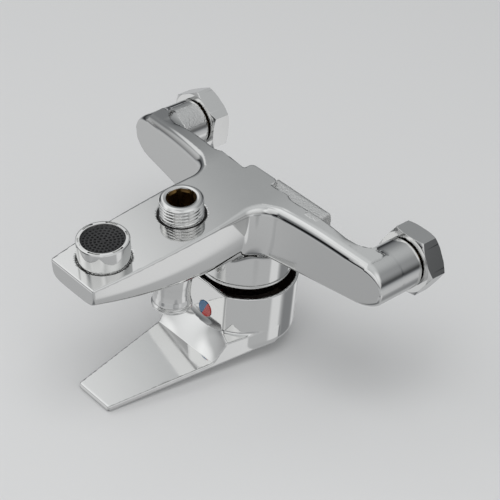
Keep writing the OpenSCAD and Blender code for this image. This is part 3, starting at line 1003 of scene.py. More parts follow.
@dataclass(frozen=True)
class SpoutSizes:
    """Crowned spout, whose section is a superellipse that shrinks toward the tip.

    Attributes:
        width: Full width of the section.
        height: Height of its crown above the underside.
        squareness: Power of the superellipse: 2 is round, more is squarer.
        length: Distance from the cartridge axis to the tip.
        root: Distance from the cartridge axis at which the spout starts.
        tip_edge: Radius of the edge round the tip.
        under_edge: Radius of the edge along the underside.
        hair: Small share of the section that keeps its powers sound on the axis.
        least_slope: Least slope that turns the section's own measure into a distance.
    """

    width: Table = Table(SPOUT_STATIONS, (40.0, 39.5, 36.27, 30.6))
    height: Table = Table(SPOUT_STATIONS, (32.0, 30.5, 21.4, 10.8))
    squareness: Table = Table(SPOUT_STATIONS, (4.0, 4.0, 4.4, 5.0))
    length: float = SPOUT_STATIONS[-1]
    root: float = SPOUT_STATIONS[0]
    tip_edge: float = 1.0
    under_edge: Table = Table((4.0, 12.0, 38.0, 70.0), (0.7, 4.2, 1.6, 0.9))
    hair: float = 1e-6
    least_slope: float = 0.02


@dataclass(frozen=True)
class ArmSizes:
    """Arms that sweep back to round legs.

    Attributes:
        root_x: Distance from the middle plane to an arm's root.
        front: Y of the front wall from the cartridge axis, at the root.
        rear: Y of the rear wall from the cartridge axis, in the middle plane.
        front_sweep: Angle by which the front wall sweeps back.
        rear_sweep: Angle by which the rear wall sweeps back.
        top_z: Height of the top at the root.
        top_bend: Softening of the bend between the level top and the one that rises to the leg.
        top_edge: Radius of the front edge, by height: it rounds the crown and not the underside.
        rear_edge: Least and largest radius of the rear upper edge.
        root_fillet: Radius of the fillet between arm and spout.
        deck_lift: Height of the deck above its origin where the undersides of the arms start.
        under_bend: Softening of the bend between the deck and an arm's underside.
        under_front_edge: Radius of the lower edge in front.
        under_rear_edge: Radius that the lower edge at the rear always keeps.
        under_rear_swell: Radius of the lower edge at the rear on the way to the leg.
        under_rear_end: Share of it that is left on the leg.
        under_depth: Depths behind the front wall between which the front radius gives way to the rear one.
        under_start: Distances from the middle plane between which the spout's edge gives way to the arm's.
        under_end: Distances between which the front edge grows crisp on the leg.
        under_end_share: Share of the front radius that is left there, by height.
    """

    root_x: float = 40.0
    front: float = -8.4
    rear: float = -3.3
    front_sweep: float = math.radians(11)
    rear_sweep: float = math.radians(7.4)
    top_z: float = 11.8
    top_bend: float = 2.0
    top_edge: Table = Table((-4.0, 4.0, 12.0), (0.8, 1.5, 8.0))
    rear_edge: tuple[float, float] = (0.05, 1.6)
    root_fillet: float = 9.0
    deck_lift: float = 0.8
    under_bend: float = 4.0
    under_front_edge: float = 4.2
    under_rear_edge: float = 0.1
    under_rear_swell: Table = Table((48.0, 60.0), (1.0, 2.6))
    under_rear_end: Table = Table((60.0, 71.0), (1.0, 0.0))
    under_depth: tuple[float, float] = (5.0, 8.0)
    under_start: tuple[float, float] = (20.0, 30.0)
    under_end: tuple[float, float] = (62.0, 70.0)
    under_end_share: Table = Table((-12.0, -5.0, -1.0), (1.0, 0.2, 0.02))


@dataclass(frozen=True)
class LegSizes:
    """Round legs that carry the inlet tails.

    Attributes:
        diameter: Diameter of a leg.
        fillet: Radius of the inner corner between leg and arm.
        end_y: Y of a leg's end face.
        end_edge: Radius of the edge round that face.
        low_reach: How far inside its axis a leg's lower half is round already.
        least_chord_square: Least square of a leg's half chord, which keeps its wall sound above and below it.
    """

    diameter: float = 25.0
    fillet: float = 9.0
    end_y: float = -11.3
    end_edge: float = 0.8
    low_reach: float = 1.5
    least_chord_square: float = 2.0

    @property
    def radius(self) -> float:
        """Radius of a leg."""
        return self.diameter / 2


@dataclass(frozen=True)
class BossSizes:
    """Ring that holds the cartridge, on a cone that springs from the deck.

    Attributes:
        diameter: Diameter of the ring.
        top: Height of its upper face.
        cone_top: Height at which the cone reaches the ring's diameter.
        foot_d: Diameter of the cone's foot.
        foot_lift: Height of the foot above the deck's origin.
        lean: Share by which a difference in radius counts as distance.
        edge: Softening of the upper edge.
        fillet: Softening of the corner between boss and spout.
    """

    diameter: float = 47.0
    top: float = 29.7
    cone_top: float = -3.5
    foot_d: float = 21.0
    foot_lift: float = 5.0
    lean: float = 0.78
    edge: float = 0.8
    fillet: float = 3.0


@dataclass(frozen=True)
class WaterWays:
    """Bores of the casting that can be seen once a part is off or moved, each from its own opening."""

    chamber: tuple[Bore, ...] = (Bore(17.45, 4.0), Bore(19.45, 22.0))
    inlet: tuple[Bore, ...] = (Bore(9.55, -23.3), Bore(7.0, -33.0))
    diverter: Bore = Bore(8.0, -6.0)
    shower: tuple[Union[Bore, Groove], ...] = (Groove(11.1, 0.45, -1.0), Bore(8.5, -6.4))
    aerator: tuple[Bore, ...] = (Bore(12.7, -0.8), Bore(10.05, -8.0))
    edge: float = 0.5


@dataclass(frozen=True)
class RoughSkin:
    """Where the casting kept the mould's skin: a field round the foundry marks and a spot on one leg.

    Attributes:
        field_x: Ends of the field in X.
        field_y: Ends of the field in Y along the deck.
        field_lift: Height above the deck at which it starts.
        field_top: Height in the part's frame at which it ends.
        spot_x: X of the spot.
        spot_y: Y of the spot.
        spot_radius: Radius of the spot.
        spot_stretch: Share by which Y counts, so the spot is longer in Y.
        spot_top: Height at which the spot ends.
        bore_margin: Distance from a bore's wall that still counts as bored.
        bore_share: How rough a bore is.
    """

    field_x: tuple[float, float] = (-45.0, 7.0)
    field_y: tuple[float, float] = (-1.5, 10.0)
    field_lift: float = 0.8
    field_top: float = 0.0
    spot_x: float = 68.0
    spot_y: float = -19.0
    spot_radius: float = 6.0
    spot_stretch: float = 0.8
    spot_top: float = -6.0
    bore_margin: float = 0.3
    bore_share: float = 0.7


@dataclass(frozen=True)
class BodyCasting:
    """Polished casting with a crowned spout, swept arms, legs and a cartridge boss, blended into each other.

    Points are given by x, y and z in the part's frame. Distances are in millimetres, negative inside.

    Attributes:
        places: Places of the main axes.
        nose: Sizes of the spout.
        bar: Sizes of the arms.
        leg: Sizes of the legs.
        ring: Sizes of the cartridge boss.
        bores: The water ways.
        skin: Where the mould's skin was left.
        lug: Rounded foundry mark at the rear.
        ledge: Feeder's foundry mark beside it.
        mark_fillet: Softening of the corner between the marks and the casting.
        margin: How far round the CAD node's box the surface is looked for.
        step: Spacing of the mesh.
    """

    places: Places
    nose: SpoutSizes = SpoutSizes()
    bar: ArmSizes = ArmSizes()
    leg: LegSizes = LegSizes()
    ring: BossSizes = BossSizes()
    bores: WaterWays = WaterWays()
    skin: RoughSkin = RoughSkin()
    lug: FoundryMark = FoundryMark(-3.1, 9.4, -8.0, 5.6, 5.0, 7.0, edge=1.4, corner=3.2)
    ledge: FoundryMark = FoundryMark(-26.0, 18.0, -6.0, 9.4, 9.1, 6.5, edge=2.4)
    mark_fillet: float = 0.8
    margin: float = 1.5
    step: float = 0.7

    def arm_face(self, ax: np.ndarray, y: np.ndarray, depth: float, sweep: float) -> np.ndarray:
        """Finds the distance in front of an upright plane that sweeps back along an arm.

        Args:
            ax: Distance from the middle plane.
            y: Y of the points.
            depth: Depth of the plane at the arm's root.
            sweep: Angle by which it sweeps back, in radians.

        Returns:
            Distance, negative behind the plane.
        """
        along = (ax - self.bar.root_x) * math.sin(sweep)
        return along - (y - self.places.axis_y - depth) * math.cos(sweep)

    def rise(self) -> float:
        """Finds how steeply an arm's top rises from its root to the top of its leg.

        Returns:
            Angle in radians.
        """
        span = self.places.leg_x - self.bar.root_x
        to_leg = math.hypot(span, self.bar.top_z)
        return math.atan2(-self.bar.top_z, span) + math.asin(self.leg.radius / to_leg)

    def low_turn(self) -> float:
        """Finds how steeply an arm's underside rises from the deck to the bottom of its leg.

        Returns:
            Angle in radians.
        """
        drop = self.places.deck.origin_z + self.bar.deck_lift
        span = self.places.leg_x - self.bar.root_x
        return math.atan2(-drop, span) - math.asin(self.leg.radius / math.hypot(span, drop))

    def round_end(self, ax: np.ndarray, z: np.ndarray) -> np.ndarray:
        """Tells where an arm's outline is the round of its leg, beyond both tangent points."""
        angle = np.arctan2(z, ax - self.places.leg_x)
        return (angle > self.low_turn() - math.pi / 2) & (angle < self.rise() + math.pi / 2)

    def leg_circle(self, ax: np.ndarray, z: np.ndarray) -> np.ndarray:
        """Distance to a leg's round, seen from the front."""
        return np.hypot(ax - self.places.leg_x, z) - self.leg.radius

    def spout(self, x: np.ndarray, y: np.ndarray, z: np.ndarray) -> np.ndarray:
        """Shapes the spout, open below: the underside is cut later for the whole casting.

        Args:
            x: X of the points.
            y: Y of the points.
            z: Z of the points.

        Returns:
            Distance to the spout's crowned sides and its tip.
        """
        nose = self.nose
        dy, dz = self.places.deck.local(y, z)
        out = -dy
        width = nose.width.smooth(out) / 2
        height = nose.height.smooth(out)
        power = nose.squareness.smooth(out)
        a = np.abs(x) / width + nose.hair
        b = np.maximum(dz, 0) / height + nose.hair
        reach = (a**power + b**power) ** (1 / power)
        steep_x = (a / reach) ** (power - 1) / width
        steep_z = (b / reach) ** (power - 1) / height
        sides = (reach - 1) / np.maximum(np.sqrt(steep_x**2 + steep_z**2), nose.least_slope)
        return np.maximum(round_max(sides, out - nose.length, nose.tip_edge), nose.root - out)

    def arm(self, x: np.ndarray, y: np.ndarray, z: np.ndarray) -> np.ndarray:
        """Shapes both arms and legs, open below.

        The rear wall and the leg's inner wall are blended slice by slice up the height, so that the blend has
        one radius all round the leg. Where two walls run into one, the radius between them fades to nothing.

        Args:
            x: X of the points.
            y: Y of the points.
            z: Z of the points.

        Returns:
            Distance to the arms and legs.
        """
        bar, leg = self.bar, self.leg
        ax = np.abs(x)
        circle = self.leg_circle(ax, z)
        rise = self.rise()
        top = (z - bar.top_z) * math.cos(rise) - (ax - bar.root_x) * math.sin(rise)
        top = soft_min(z - bar.top_z, top, bar.top_bend)
        outline = np.where(self.round_end(ax, z), circle - np.maximum(-z, 0), top)
        front = self.arm_face(ax, y, bar.front, bar.front_sweep)
        solid = round_max(front, outline, bar.top_edge.straight(z))
        rear_depth = bar.rear + bar.root_x * math.tan(bar.rear_sweep)
        half = np.sqrt(np.maximum(leg.radius * leg.radius - z * z, leg.least_chord_square))
        low = (ax > self.places.leg_x - leg.low_reach) & (z < 0)
        side = np.maximum(self.places.leg_x - half - ax, np.where(low, circle, -leg.radius))
        inner = round_min(-self.arm_face(ax, y, rear_depth, bar.rear_sweep), side, leg.fillet)
        solid = round_max(solid, inner, np.clip(circle - outline, *bar.rear_edge))
        return round_max(solid, y - leg.end_y, leg.end_edge)

    def underside(self, x: np.ndarray, y: np.ndarray, z: np.ndarray) -> np.ndarray:
        """Shapes the underside: the deck's plane, which bends up toward the legs and round their ends.

        Args:
            x: X of the points.
            y: Y of the points.
            z: Z of the points.

        Returns:
            Distance below the underside.
        """
        _, dz = self.places.deck.local(y, z)
        ax = np.abs(x)
        turn = self.low_turn()
        rising = (ax - self.bar.root_x) * math.sin(turn) - dz * math.cos(turn)
        round_leg = self.leg_circle(ax, z) - np.maximum(z, 0)
        return np.where(self.round_end(ax, z), round_leg, soft_max(-dz, rising, self.bar.under_bend))

    def under_edge(self, x: np.ndarray, y: np.ndarray, z: np.ndarray) -> np.ndarray:
        """Gives the radius of the edge round the underside.

        It is broad in front of the arms, and crisp at the spout's tip, at the rear and on the legs.

        Args:
            x: X of the points.
            y: Y of the points.
            z: Z of the points.

        Returns:
            Radius at each point.
        """
        bar = self.bar
        dy, _ = self.places.deck.local(y, z)
        ax = np.abs(x)
        spout = self.nose.under_edge.straight(-dy)
        behind = -self.arm_face(ax, y, bar.front, bar.front_sweep)
        end = fade(ax, *bar.under_end) * (1 - bar.under_end_share.straight(z))
        front = bar.under_front_edge * (1 - end)
        rear = bar.under_rear_swell.straight(ax) * bar.under_rear_end.straight(ax) + bar.under_rear_edge
        arm = front + (rear - front) * Table(bar.under_depth, (0.0, 1.0)).straight(behind)
        share = fade(ax, *bar.under_start)
        return spout + (arm - spout) * share * share * (3 - 2 * share)

    def boss(self, x: np.ndarray, y: np.ndarray, z: np.ndarray) -> np.ndarray:
        """Shapes the cartridge boss: a straight ring on a cone.

        Args:
            x: X of the points.
            y: Y of the points.
            z: Z of the points.

        Returns:
            Distance to the boss.
        """
        ring = self.ring
        radius = ring.diameter / 2
        foot = self.places.deck.origin_z + ring.foot_lift
        away = np.hypot(x, y - self.places.axis_y)
        wide = np.interp(z, [foot, ring.cone_top, ring.top], [ring.foot_d / 2, radius, radius])
        return soft_max(np.maximum((away - wide) * ring.lean, foot - z), z - ring.top, ring.edge)

    def marks(self, x: np.ndarray, y: np.ndarray, z: np.ndarray) -> np.ndarray:
        """Shapes the foundry marks: a rounded lug, and a feeder ledge on one side.

        Args:
            x: X of the points.
            y: Y of the points.
            z: Z of the points.

        Returns:
            Distance to the nearer mark.
        """
        dy, dz = self.places.deck.local(y, z)
        return np.minimum(self.lug.distance(x, dy, dz), self.ledge.distance(x, dy, dz))

    def ways(self, x: np.ndarray, y: np.ndarray, z: np.ndarray) -> np.ndarray:
        """Shapes the bores. The outlets open downward, so their heights are turned over.

        Args:
            x: X of the points.
            y: Y of the points.
            z: Z of the points.

        Returns:
            Distance to the nearest bore.
        """
        places, bores = self.places, self.bores
        dy, dz = places.deck.local(y, z)
        openings = (
            (np.hypot(x, y - places.axis_y), z, bores.chamber),
            (np.hypot(np.abs(x) - places.leg_x, z), y, bores.inlet),
            (np.hypot(x, y - places.diverter_y), z, (bores.diverter,)),
            (np.hypot(x, dy + places.nipple_out), -dz, bores.shower),
            (np.hypot(x, dy + places.aerator_out), -dz, bores.aerator),
        )
        distances = (bore.distance(away, height) for away, height, group in openings for bore in group)
        return functools.reduce(np.minimum, distances)

    def field(self, x: np.ndarray, y: np.ndarray, z: np.ndarray) -> np.ndarray:
        """Joins all forms of the casting and bores it.

        Args:
            x: X of the points.
            y: Y of the points.
            z: Z of the points.

        Returns:
            Distance to the casting.
        """
        solid = round_min(self.spout(x, y, z), self.arm(x, y, z), self.bar.root_fillet)
        solid = soft_min(solid, self.boss(x, y, z), self.ring.fillet)
        solid = soft_min(solid, self.marks(x, y, z), self.mark_fillet)
        solid = round_max(solid, self.underside(x, y, z), self.under_edge(x, y, z))
        return soft_max(solid, -self.ways(x, y, z), self.bores.edge)

    def rough_share(self, points: np.ndarray) -> np.ndarray:
        """Tells how rough the casting's surface is.

        Args:
            points: Points on the surface, one a row.

        Returns:
            For each point 1 on the mould's skin, less in the bores and 0 where it was polished.
        """
        skin = self.skin
        x, y, z = points.T
        dy, dz = self.places.deck.local(y, z)
        rear = (x > skin.field_x[0]) & (x < skin.field_x[1]) & (dy > skin.field_y[0]) & (dy < skin.field_y[1])
        rear &= (dz > skin.field_lift) & (z < skin.field_top)
        spot = np.hypot(x - skin.spot_x, (y - skin.spot_y) * skin.spot_stretch) < skin.spot_radius
        spot &= z < skin.spot_top
        bore = self.ways(x, y, z) < skin.bore_margin
        return np.where(rear | spot, 1.0, np.where(bore, skin.bore_share, 0.0))

    def build(self, palette: Palette) -> None:
        """Meshes the casting and marks the skin that was never polished.

        Args:
            palette: Finishes.
        """
        low, high = box_mm("body_casting")
        shell = surface_of(self.field, low - self.margin, high + self.margin, self.step)
        cast = self.rough_share(shell.points)
        make_piece("casting", shell, Body.TAP, Slot.CHROME, palette, ["body_casting"], marks={"cast": cast})


# ---------------------------------------------------------------- the handle


@dataclass(frozen=True)
class SkirtSizes:
    """Round skirt with a flat front facet.

    Attributes:
        diameter: Diameter of the skirt.
        wall: Thickness of its wall.
        rim_z: Height of its lower rim.
        rim_edge: Softening of the rim's edge.
        top: Height of its upper face.
        top_edge: Radius of the edge round that face.
        facet_out: Distance of the front facet from the cartridge axis.
        facet_top: Height of the facet in the middle plane.
        arch_radius: Radius of the arch that ends it above.
        arch_lean: Share by which a difference in height counts as distance below the arch.
        facet_edge: Softening of the edges round the facet.
    """

    diameter: float = 55.0
    wall: float = 1.6
    rim_z: float = 34.7
    rim_edge: float = 0.5
    top: float = 66.5
    top_edge: float = 5.0
    facet_out: float = 24.0
    facet_top: float = 59.0
    arch_radius: float = 26.0
    arch_lean: float = 0.82
    facet_edge: float = 0.7


@dataclass(frozen=True)
class BladeSizes:
    """Blade that leaves the skirt at its widest and narrows to the tip.

    Attributes:
        length: Distance from the cartridge axis to the tip.
        shoulder_in: How far inside the skirt's radius its sides start.
        tip_width: Width at the tip.
        thickness: Thickness of the free blade.
        rise: Angle at which it rises toward the tip.
        roof_drop: How far its upper face starts below the skirt's.
        side_edge: Softening of its long edges and of the corner to the skirt.
        tip_edge: Softening of the edge round the tip.
        foot_drop: How far it reaches below the facet's top, inside the skirt.
        foot_edge: Softening of that lower end.
        crease_out: Distance at which the arch meets the blade's lower face.
    """

    length: float = 92.5
    shoulder_in: float = 1.0
    tip_width: float = 22.6
    thickness: float = 3.0
    rise: float = math.radians(4.5)
    roof_drop: float = 0.6
    side_edge: float = 1.6
    tip_edge: float = 1.0
    foot_drop: float = 3.0
    foot_edge: float = 0.8
    crease_out: float = 35.5


@dataclass(frozen=True)
class CavitySizes:
    """Hollow of the skirt, with the column that grips the stem and the seat of the index plug.

    Attributes:
        top: Height of the hollow's ceiling.
        column_radius: Radius of the column.
        column_foot: Height of the column's lower end.
        column_edge: Softening of the column's edges.
        plug_z: Height of the plug's centre.
        plug_radius: Radius of its seat.
        plug_depth: Depth of its seat.
    """

    top: float = 59.5
    column_radius: float = 8.5
    column_foot: float = 46.0
    column_edge: float = 0.8
    plug_z: float = 50.0
    plug_radius: float = 4.3
    plug_depth: float = 0.8


@dataclass(frozen=True)
class PaintedShadeInside:
    """Limits of the unplated inside of the handle.

    Attributes:
        wall_margin: How far it reaches past the hollow's wall.
        rim_margin: How far above the skirt's rim it starts.
        top_margin: How far below the skirt's upper face it ends.
        ceiling_radius: Radius within which the hollow's ceiling gets the painted shade too.
        ceiling_z: Height below which that holds.
    """

    wall_margin: float = 0.35
    rim_margin: float = 0.3
    top_margin: float = 4.0
    ceiling_radius: float = 22.0
    ceiling_z: float = 59.9


@dataclass(frozen=True)
class Handle:
    """Cast lever handle: a round skirt with a flat front facet, and a blade that leaves its widest part.

    Attributes:
        places: Places of the main axes.
        skirt: Sizes of the skirt.
        blade: Sizes of the blade.
        hollow: Sizes of the inside.
        painted_shade: What of the inside is painted dark, as painted shade.
        margin: How far round the CAD node's box the surface is looked for.
        step: Spacing of the mesh.
    """

    places: Places
    skirt: SkirtSizes = SkirtSizes()
    blade: BladeSizes = BladeSizes()
    hollow: CavitySizes = CavitySizes()
    painted_shade: PaintedShadeInside = PaintedShadeInside()
    margin: float = 1.5
    step: float = 0.6

    def roof(self, out: np.ndarray, z: np.ndarray) -> np.ndarray:
        """Distance above the blade's upper face, which rises toward the tip."""
        blade = self.blade
        return (z - self.skirt.top + blade.roof_drop) * math.cos(blade.rise) - out * math.sin(blade.rise)

    def outside(self, x: np.ndarray, out: np.ndarray, z: np.ndarray) -> np.ndarray:
        """Shapes the skirt's round and the blade, still without the front facet.

        Args:
            x: X of the points.
            out: Distance of the points in front of the cartridge axis.
            z: Z of the points.

        Returns:
            Distance, negative inside.
        """
        skirt, blade = self.skirt, self.blade
        radius = skirt.diameter / 2
        qr, qz = np.hypot(x, out) - (radius - skirt.top_edge), z - (skirt.top - skirt.top_edge)
        drum = np.hypot(np.maximum(qr, 0), np.maximum(qz, 0)) + np.minimum(np.maximum(qr, qz), 0)
        drum = soft_max(drum - skirt.top_edge, skirt.rim_z - z, skirt.rim_edge)
        shoulder = radius - blade.shoulder_in
        lean = math.atan2(shoulder - blade.tip_width / 2, blade.length)
        side = (np.abs(x) - shoulder) * math.cos(lean) + out * math.sin(lean)
        lever = soft_max(side, self.roof(out, z), blade.side_edge)
        lever = np.maximum(soft_max(lever, out - blade.length, blade.tip_edge), -out)
        lever = soft_max(lever, skirt.facet_top - blade.foot_drop - z, blade.foot_edge)
        return soft_min(drum, lever, blade.side_edge)

    def beneath(self, x: np.ndarray, out: np.ndarray, z: np.ndarray) -> np.ndarray:
        """Shapes what is cut away in front: the facet, the arch over it and the blade's lower face.

        Args:
            x: X of the points.
            out: Distance of the points in front of the cartridge axis.
            z: Z of the points.

        Returns:
            Distance, negative where the handle stays.
        """
        skirt, blade = self.skirt, self.blade
        thick = blade.thickness / math.cos(blade.rise)
        crease_z = skirt.top - blade.roof_drop + blade.crease_out * math.tan(blade.rise) - thick
        arch = skirt.facet_top - x**2 / (2 * skirt.arch_radius)
        root = arch + (crease_z - arch) * fade(out, skirt.facet_out, blade.crease_out)
        lower = np.where(
            out > blade.crease_out, -self.roof(out, z) - blade.thickness, (root - z) * skirt.arch_lean
        )
        return np.minimum(out - skirt.facet_out, lower)

    def field(self, x: np.ndarray, y: np.ndarray, z: np.ndarray) -> np.ndarray:
        """Joins the handle's forms and hollows it.

        Args:
            x: X of the points.
            y: Y of the points.
            z: Z of the points.

        Returns:
            Distance to the handle, negative inside.
        """
        skirt, hollow = self.skirt, self.hollow
        out = self.places.axis_y - y
        away = np.hypot(x, out)
        solid = soft_max(self.outside(x, out, z), self.beneath(x, out, z), skirt.facet_edge)
        cavity = np.maximum(away - skirt.diameter / 2 + skirt.wall, z - hollow.top)
        cavity = np.maximum(cavity, out - skirt.facet_out + skirt.wall)
        column = np.maximum(away - hollow.column_radius, hollow.column_foot - z)
        cavity = soft_max(cavity, -column, hollow.column_edge)
        seat = np.maximum(
            np.hypot(x, z - hollow.plug_z) - hollow.plug_radius, skirt.facet_out - hollow.plug_depth - out
        )
        return np.maximum(np.maximum(solid, -cavity), -seat)

    def painted_shade_share(self, points: np.ndarray) -> np.ndarray:
        """Tells where the inside is painted dark, as painted shade.

        Args:
            points: Points on the surface, one a row.

        Returns:
            True for each point inside the skirt.
        """
        skirt, painted_shade = self.skirt, self.painted_shade
        x, y, z = points.T
        out = self.places.axis_y - y
        away = np.hypot(x, out)
        inside = away < skirt.diameter / 2 - skirt.wall + painted_shade.wall_margin
        inside &= (z < skirt.top - painted_shade.top_margin) & (z > skirt.rim_z + painted_shade.rim_margin)
        inside |= (away < painted_shade.ceiling_radius) & (z < painted_shade.ceiling_z)
        return inside & (out < skirt.facet_out - self.hollow.plug_depth)

    def build(self, palette: Palette) -> None:
        """Meshes the handle and marks the inside that gets the painted shade.

        Args:
            palette: Finishes.
        """
        low, high = box_mm("handle")
        shell = surface_of(self.field, low - self.margin, high + self.margin, self.step)
        # Painted shade: the skirt's inside is marked here to be painted dark
        painted_shade = self.painted_shade_share(shell.points)
        make_piece("lever_handle", shell, Body.LEVER, Slot.CHROME, palette, ["handle"], marks={"painted_shade": painted_shade})


# ---------------------------------------------------------------- turned parts


@dataclass(frozen=True)
class DiverterKnob:
    """Turned pull knob: a waisted barrel with a groove and a bead at its end.

    Attributes:
        places: Places of the main axes.
        wall: How far the bore's foot lies inside the largest radius.
        lip: How far the outer foot lies inside the largest radius.
        stem_hole: Radius of the hole for the stem.
        bore: Points of the bore: radius, and how far below the top.
        barrel: Points of the outside: how far inside the largest radius, and how far below the top.
        inner_edge: Softening of the bore's corners.
        outer_edge: Softening of the barrel's corners.
        sides: Points round each ring.
    """

    places: Places
    wall: float = 2.2
    lip: float = 0.5
    stem_hole: float = 2.6
    bore: tuple[tuple[float, float], ...] = ((7.0, 6.0), (7.1, 10.0))
    barrel: tuple[tuple[float, float], ...] = (
        (1.0, 14.0), (1.2, 10.0), (1.1, 7.0), (0.7, 5.0), (0.6, 4.1), (1.2, 3.6), (1.2, 3.1),
        (0.1, 2.6), (0.0, 1.4), (0.9, 0.5), (2.2, 0.45), (2.4, 0.0),
    )
    inner_edge: float = 0.6
    outer_edge: float = 0.35
    sides: int = 128

    def build(self, palette: Palette) -> None:
        """Turns the knob's outline about its axis.

        Args:
            palette: Finishes.
        """
        low, high = box_mm("diverter_knob")
        top, foot, r = float(high[2]), float(low[2]), float(high[0])
        ceiling = top - self.bore[0][1]
        bore = [(radius, top - down) for radius, down in self.bore]
        inner = softened([(self.stem_hole, ceiling), *bore, (r - self.wall, foot)], self.inner_edge)
        barrel = [(r - inset, top - down) for inset, down in self.barrel]
        outer = softened(
            [(r - self.wall, foot), (r - self.lip, foot), *barrel, (MIDDLE, top)], self.outer_edge
        )
        shell = ring_stack(inner + outer[1:], even_angles(self.sides))
        shell.points[:, 1] += self.places.diverter_y
        make_piece("pull_knob", shell, Body.DIVERTER, Slot.CHROME, palette, ["diverter_knob"])


@dataclass(frozen=True)
class ShowerNipple:
    """Threaded hose outlet with a chamfered rim and a scalloped key socket in bare brass.

    It is built about its own axis from the underside's plane, with its rim pointing down.

    Attributes:
        places: Places of the main axes.
        length: How far it stands out of the underside.
        thread: The hose's thread.
        bore_radius: Radius of the bore behind the socket.
        shank_radius: Radius of the part inside the casting.
        shank_top: How far it reaches into the casting.
        neck_radius: Radius between thread and casting.
        key_flat: Distance from the axis to the socket's flats.
        key_lobe: Distance from the axis to its scooped corners.
        lobe_swell: How far the scooped corners bulge.
        lobes: Number of flats, and of corners.
        sides: Points round each ring.
    """

    places: Places
    length: float = 9.5
    thread: Thread = Thread(10.4775, 9.4, 1.814)
    bore_radius: float = 5.0
    shank_radius: float = 8.5
    shank_top: float = 5.9
    neck_radius: float = 9.6
    key_flat: float = 5.9
    key_lobe: float = 6.75
    lobe_swell: float = 0.25
    lobes: int = 6
    sides: int = 144

    def socket(self, angles: np.ndarray) -> np.ndarray:
        """Finds the socket's wall: a hexagon whose corners are scooped round.

        Args:
            angles: Angles about the axis.

        Returns:
            Radius at each angle.
        """
        turn = (angles + math.pi / self.lobes) % (2 * math.pi / self.lobes) - math.pi / self.lobes
        hexagon = self.key_flat / np.cos(turn)
        return np.minimum(hexagon, self.key_lobe - self.lobe_swell * np.abs(np.sin(angles * self.lobes)))

    def build(self, palette: Palette) -> None:
        """Builds the nipple from its bore, over the rim and up the thread.

        Args:
            palette: Finishes.
        """
        angles = even_angles(self.sides)
        wall = self.socket(angles)
        end = -self.length
        socket: Rings = [(self.bore_radius, self.shank_top), (self.bore_radius, 3.2), (wall, 3.0)]
        socket += [(wall, end + 1.7)]
        rim: Rings = [(7.0, end + 0.55), (7.15, end + 0.15), (7.4, end), (9.1, end), (9.4, end + 0.12)]
        rim += [(10.2, end + 1.0)]
        neck: Rings = [(self.neck_radius, -0.8), (self.neck_radius, 0.0)]
        neck += [(self.shank_radius, 0.05), (self.shank_radius, self.shank_top)]
        rings = socket + rim + self.thread.rings(end + 1.05, -1.0, angles) + neck
        shell = turned_over(ring_stack(rings, angles, closed=True))
        bare_faces = np.arange(len(shell.faces)) < len(socket) * len(angles)
        shell = self.places.deck.placed(shell, self.places.nipple_out)
        bare = (Slot.BRASS, bare_faces)
        make_piece("hose_nipple", shell, Body.TAP, Slot.CHROME, palette, ["shower_nipple"], inner=bare)


